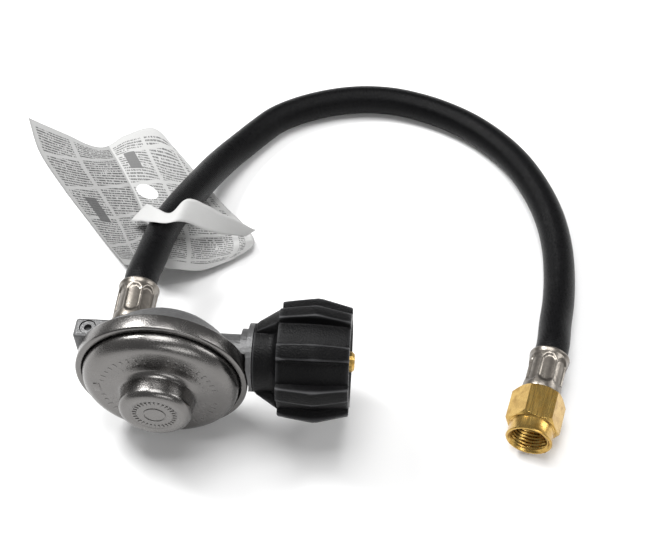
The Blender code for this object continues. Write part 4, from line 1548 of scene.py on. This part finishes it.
def dress(nodes: dict) -> None:
    """Give every carried-over node its own finish.

    Args:
        nodes: the frame's nodes by name.
    """
    finishes = {
        CastZinc(): ("body_casting", "adjuster_plug", "port_plug"),
        INLET_BRASS: ("inlet_nipple", "inlet_orifice", "seat_rod", "check_poppet"),
        STEM_BRASS: ("outlet_stem", "flare_stem", "diaphragm_stem"),
        SPRING: ("main_spring", "poppet_spring", "lever", "lever_pin", "diaphragm_plate",
                 "diaphragm_washer"),
        SEAL_RUBBER: ("seat_disc", "nose_seal"),
        PlainFinish("green_plastic", (0.05, 0.16, 0.1), 0.4): ("handwheel_bushing",),
    }
    for finish, names in finishes.items():
        for name in names:
            for slot in nodes[name].material_slots:
                slot.material = Paint.get(finish)
            LOG.info("dressed %s with %s", name, finish.name)


@dataclass
class Spring:
    """A coil spring made from its node's coil."""

    name: str
    node: str
    joint: str
    axis: tuple
    anchor: tuple
    long: float
    travel: float

    def build(self, nodes: dict) -> Piece:
        """Build the spring from its node's coil.

        Args:
            nodes: the frame's nodes by name.

        Returns:
            The spring.
        """
        piece = bpy.data.objects.new(self.name, nodes[self.node].data.copy())
        bpy.context.collection.objects.link(piece)
        piece.data.shade_smooth()
        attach(piece, "regulator")
        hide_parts(self.node)
        place = regulator_place()
        heading = place.to_3x3() @ Vector(self.axis)
        anchor = place @ (Vector(self.anchor) * MM)
        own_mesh(piece)
        return piece


@dataclass
class Diaphragm:
    """Rubber diaphragm in sectors with a rolled fold, between the clamped edge and the moving plates.
    """

    inner: float = 1.9 * MM
    outer: float = 33.2 * MM
    half: float = 0.4 * MM
    fold_from: float = 20.5 * MM
    fold_to: float = 28.5 * MM
    fold: float = 1.1 * MM
    sectors: int = 8
    around: int = 10
    across: int = 40
    still_r: float = 28.0 * MM
    moving_r: float = 19.5 * MM

    def rise(self, radius: float) -> float:
        """Return the height of the rolled fold at one radius."""
        share = (radius - self.fold_from) / (self.fold_to - self.fold_from)
        return self.fold * sin(pi * share) ** 2 if 0.0 < share < 1.0 else 0.0

    def sector(self, index: int, finish: Finish) -> Piece:
        """Build one sector with its rolled fold.

        Args:
            index: the sector's number.
            finish: the rubber's finish.

        Returns:
            The sector.
        """
        wide = 2 * pi / self.sectors
        angles = [(index - 0.5 + turn / self.around) * wide for turn in range(self.around + 1)]
        outward = [self.inner + (self.outer - self.inner) * step / self.across
                   for step in range(self.across + 1)]
        rows = []
        for side, line in ((-self.half, outward), (self.half, outward[::-1])):
            rows += [[(radius * cos(angle), self.rise(radius) + side, radius * sin(angle))
                      for angle in angles] for radius in line]
        bm = bmesh.new()
        made = skin(bm, rows, closed=True)
        for turn in (0, self.around):
            for step in range(self.across):
                under, beyond, above, over = (made[row][turn] for row in
                                              (step, step + 1, -2 - step, -1 - step))
                bm.faces.new((under, beyond, above, over))
        place = regulator_place()
        piece = mesh_piece(f"diaphragm_sector_{index + 1}", bm, finish, place)
        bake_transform(piece)
        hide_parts("diaphragm")
        return piece

    def build(self, finish: Finish) -> list[Piece]:
        """Build every sector.

        Args:
            finish: the rubber's finish.

        Returns:
            The sectors.
        """
        return [self.sector(index, finish) for index in range(self.sectors)]


def main() -> None:
    """Build the whole scene."""
    logging.basicConfig(level=logging.INFO, format="%(name)s: %(message)s")
    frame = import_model()
    Studio().build()
    nodes = frame["nodes"]
    dress(nodes)
    made = RegulatorHead().build(nodes) + Handwheel().build()
    near = Ferrule("hose_ferrule", "regulator_ferrule",
                   regulator_place((-16.8, 21.2, 0.7), (-90, 0, 0)))
    far = Ferrule("nut_sleeve", "nut_ferrule", nut_place(22.5 * MM))
    sleeves = [far.build(), FlareNut().build()]
    made += [near.build()] + sleeves
    made += Diaphragm().build(SEAL_RUBBER)
    made.append(Spring("load_spring", "main_spring", "diaphragm_travel", (0, 1, 0), (0, -15.8, 0),
                       13.6, 1.35).build(nodes))
    made.append(Spring("return_spring", "poppet_spring", "poppet_slide", (1, 0, 0),
                       (54.8, 9.5, 0.5), 14.2, 2.15).build(nodes))
    tag = PaperTag()
    hose = Hose()
    riders = sleeves + [nodes["flare_stem"]]
    strip = tag.strip()
    made.append(strip)
    made.append(hose.build(riders + [strip]))
    made.append(tag.sheet())
    for piece in made:
        LOG.info("built %s", piece.name)


if __name__ == "__main__":
    main()
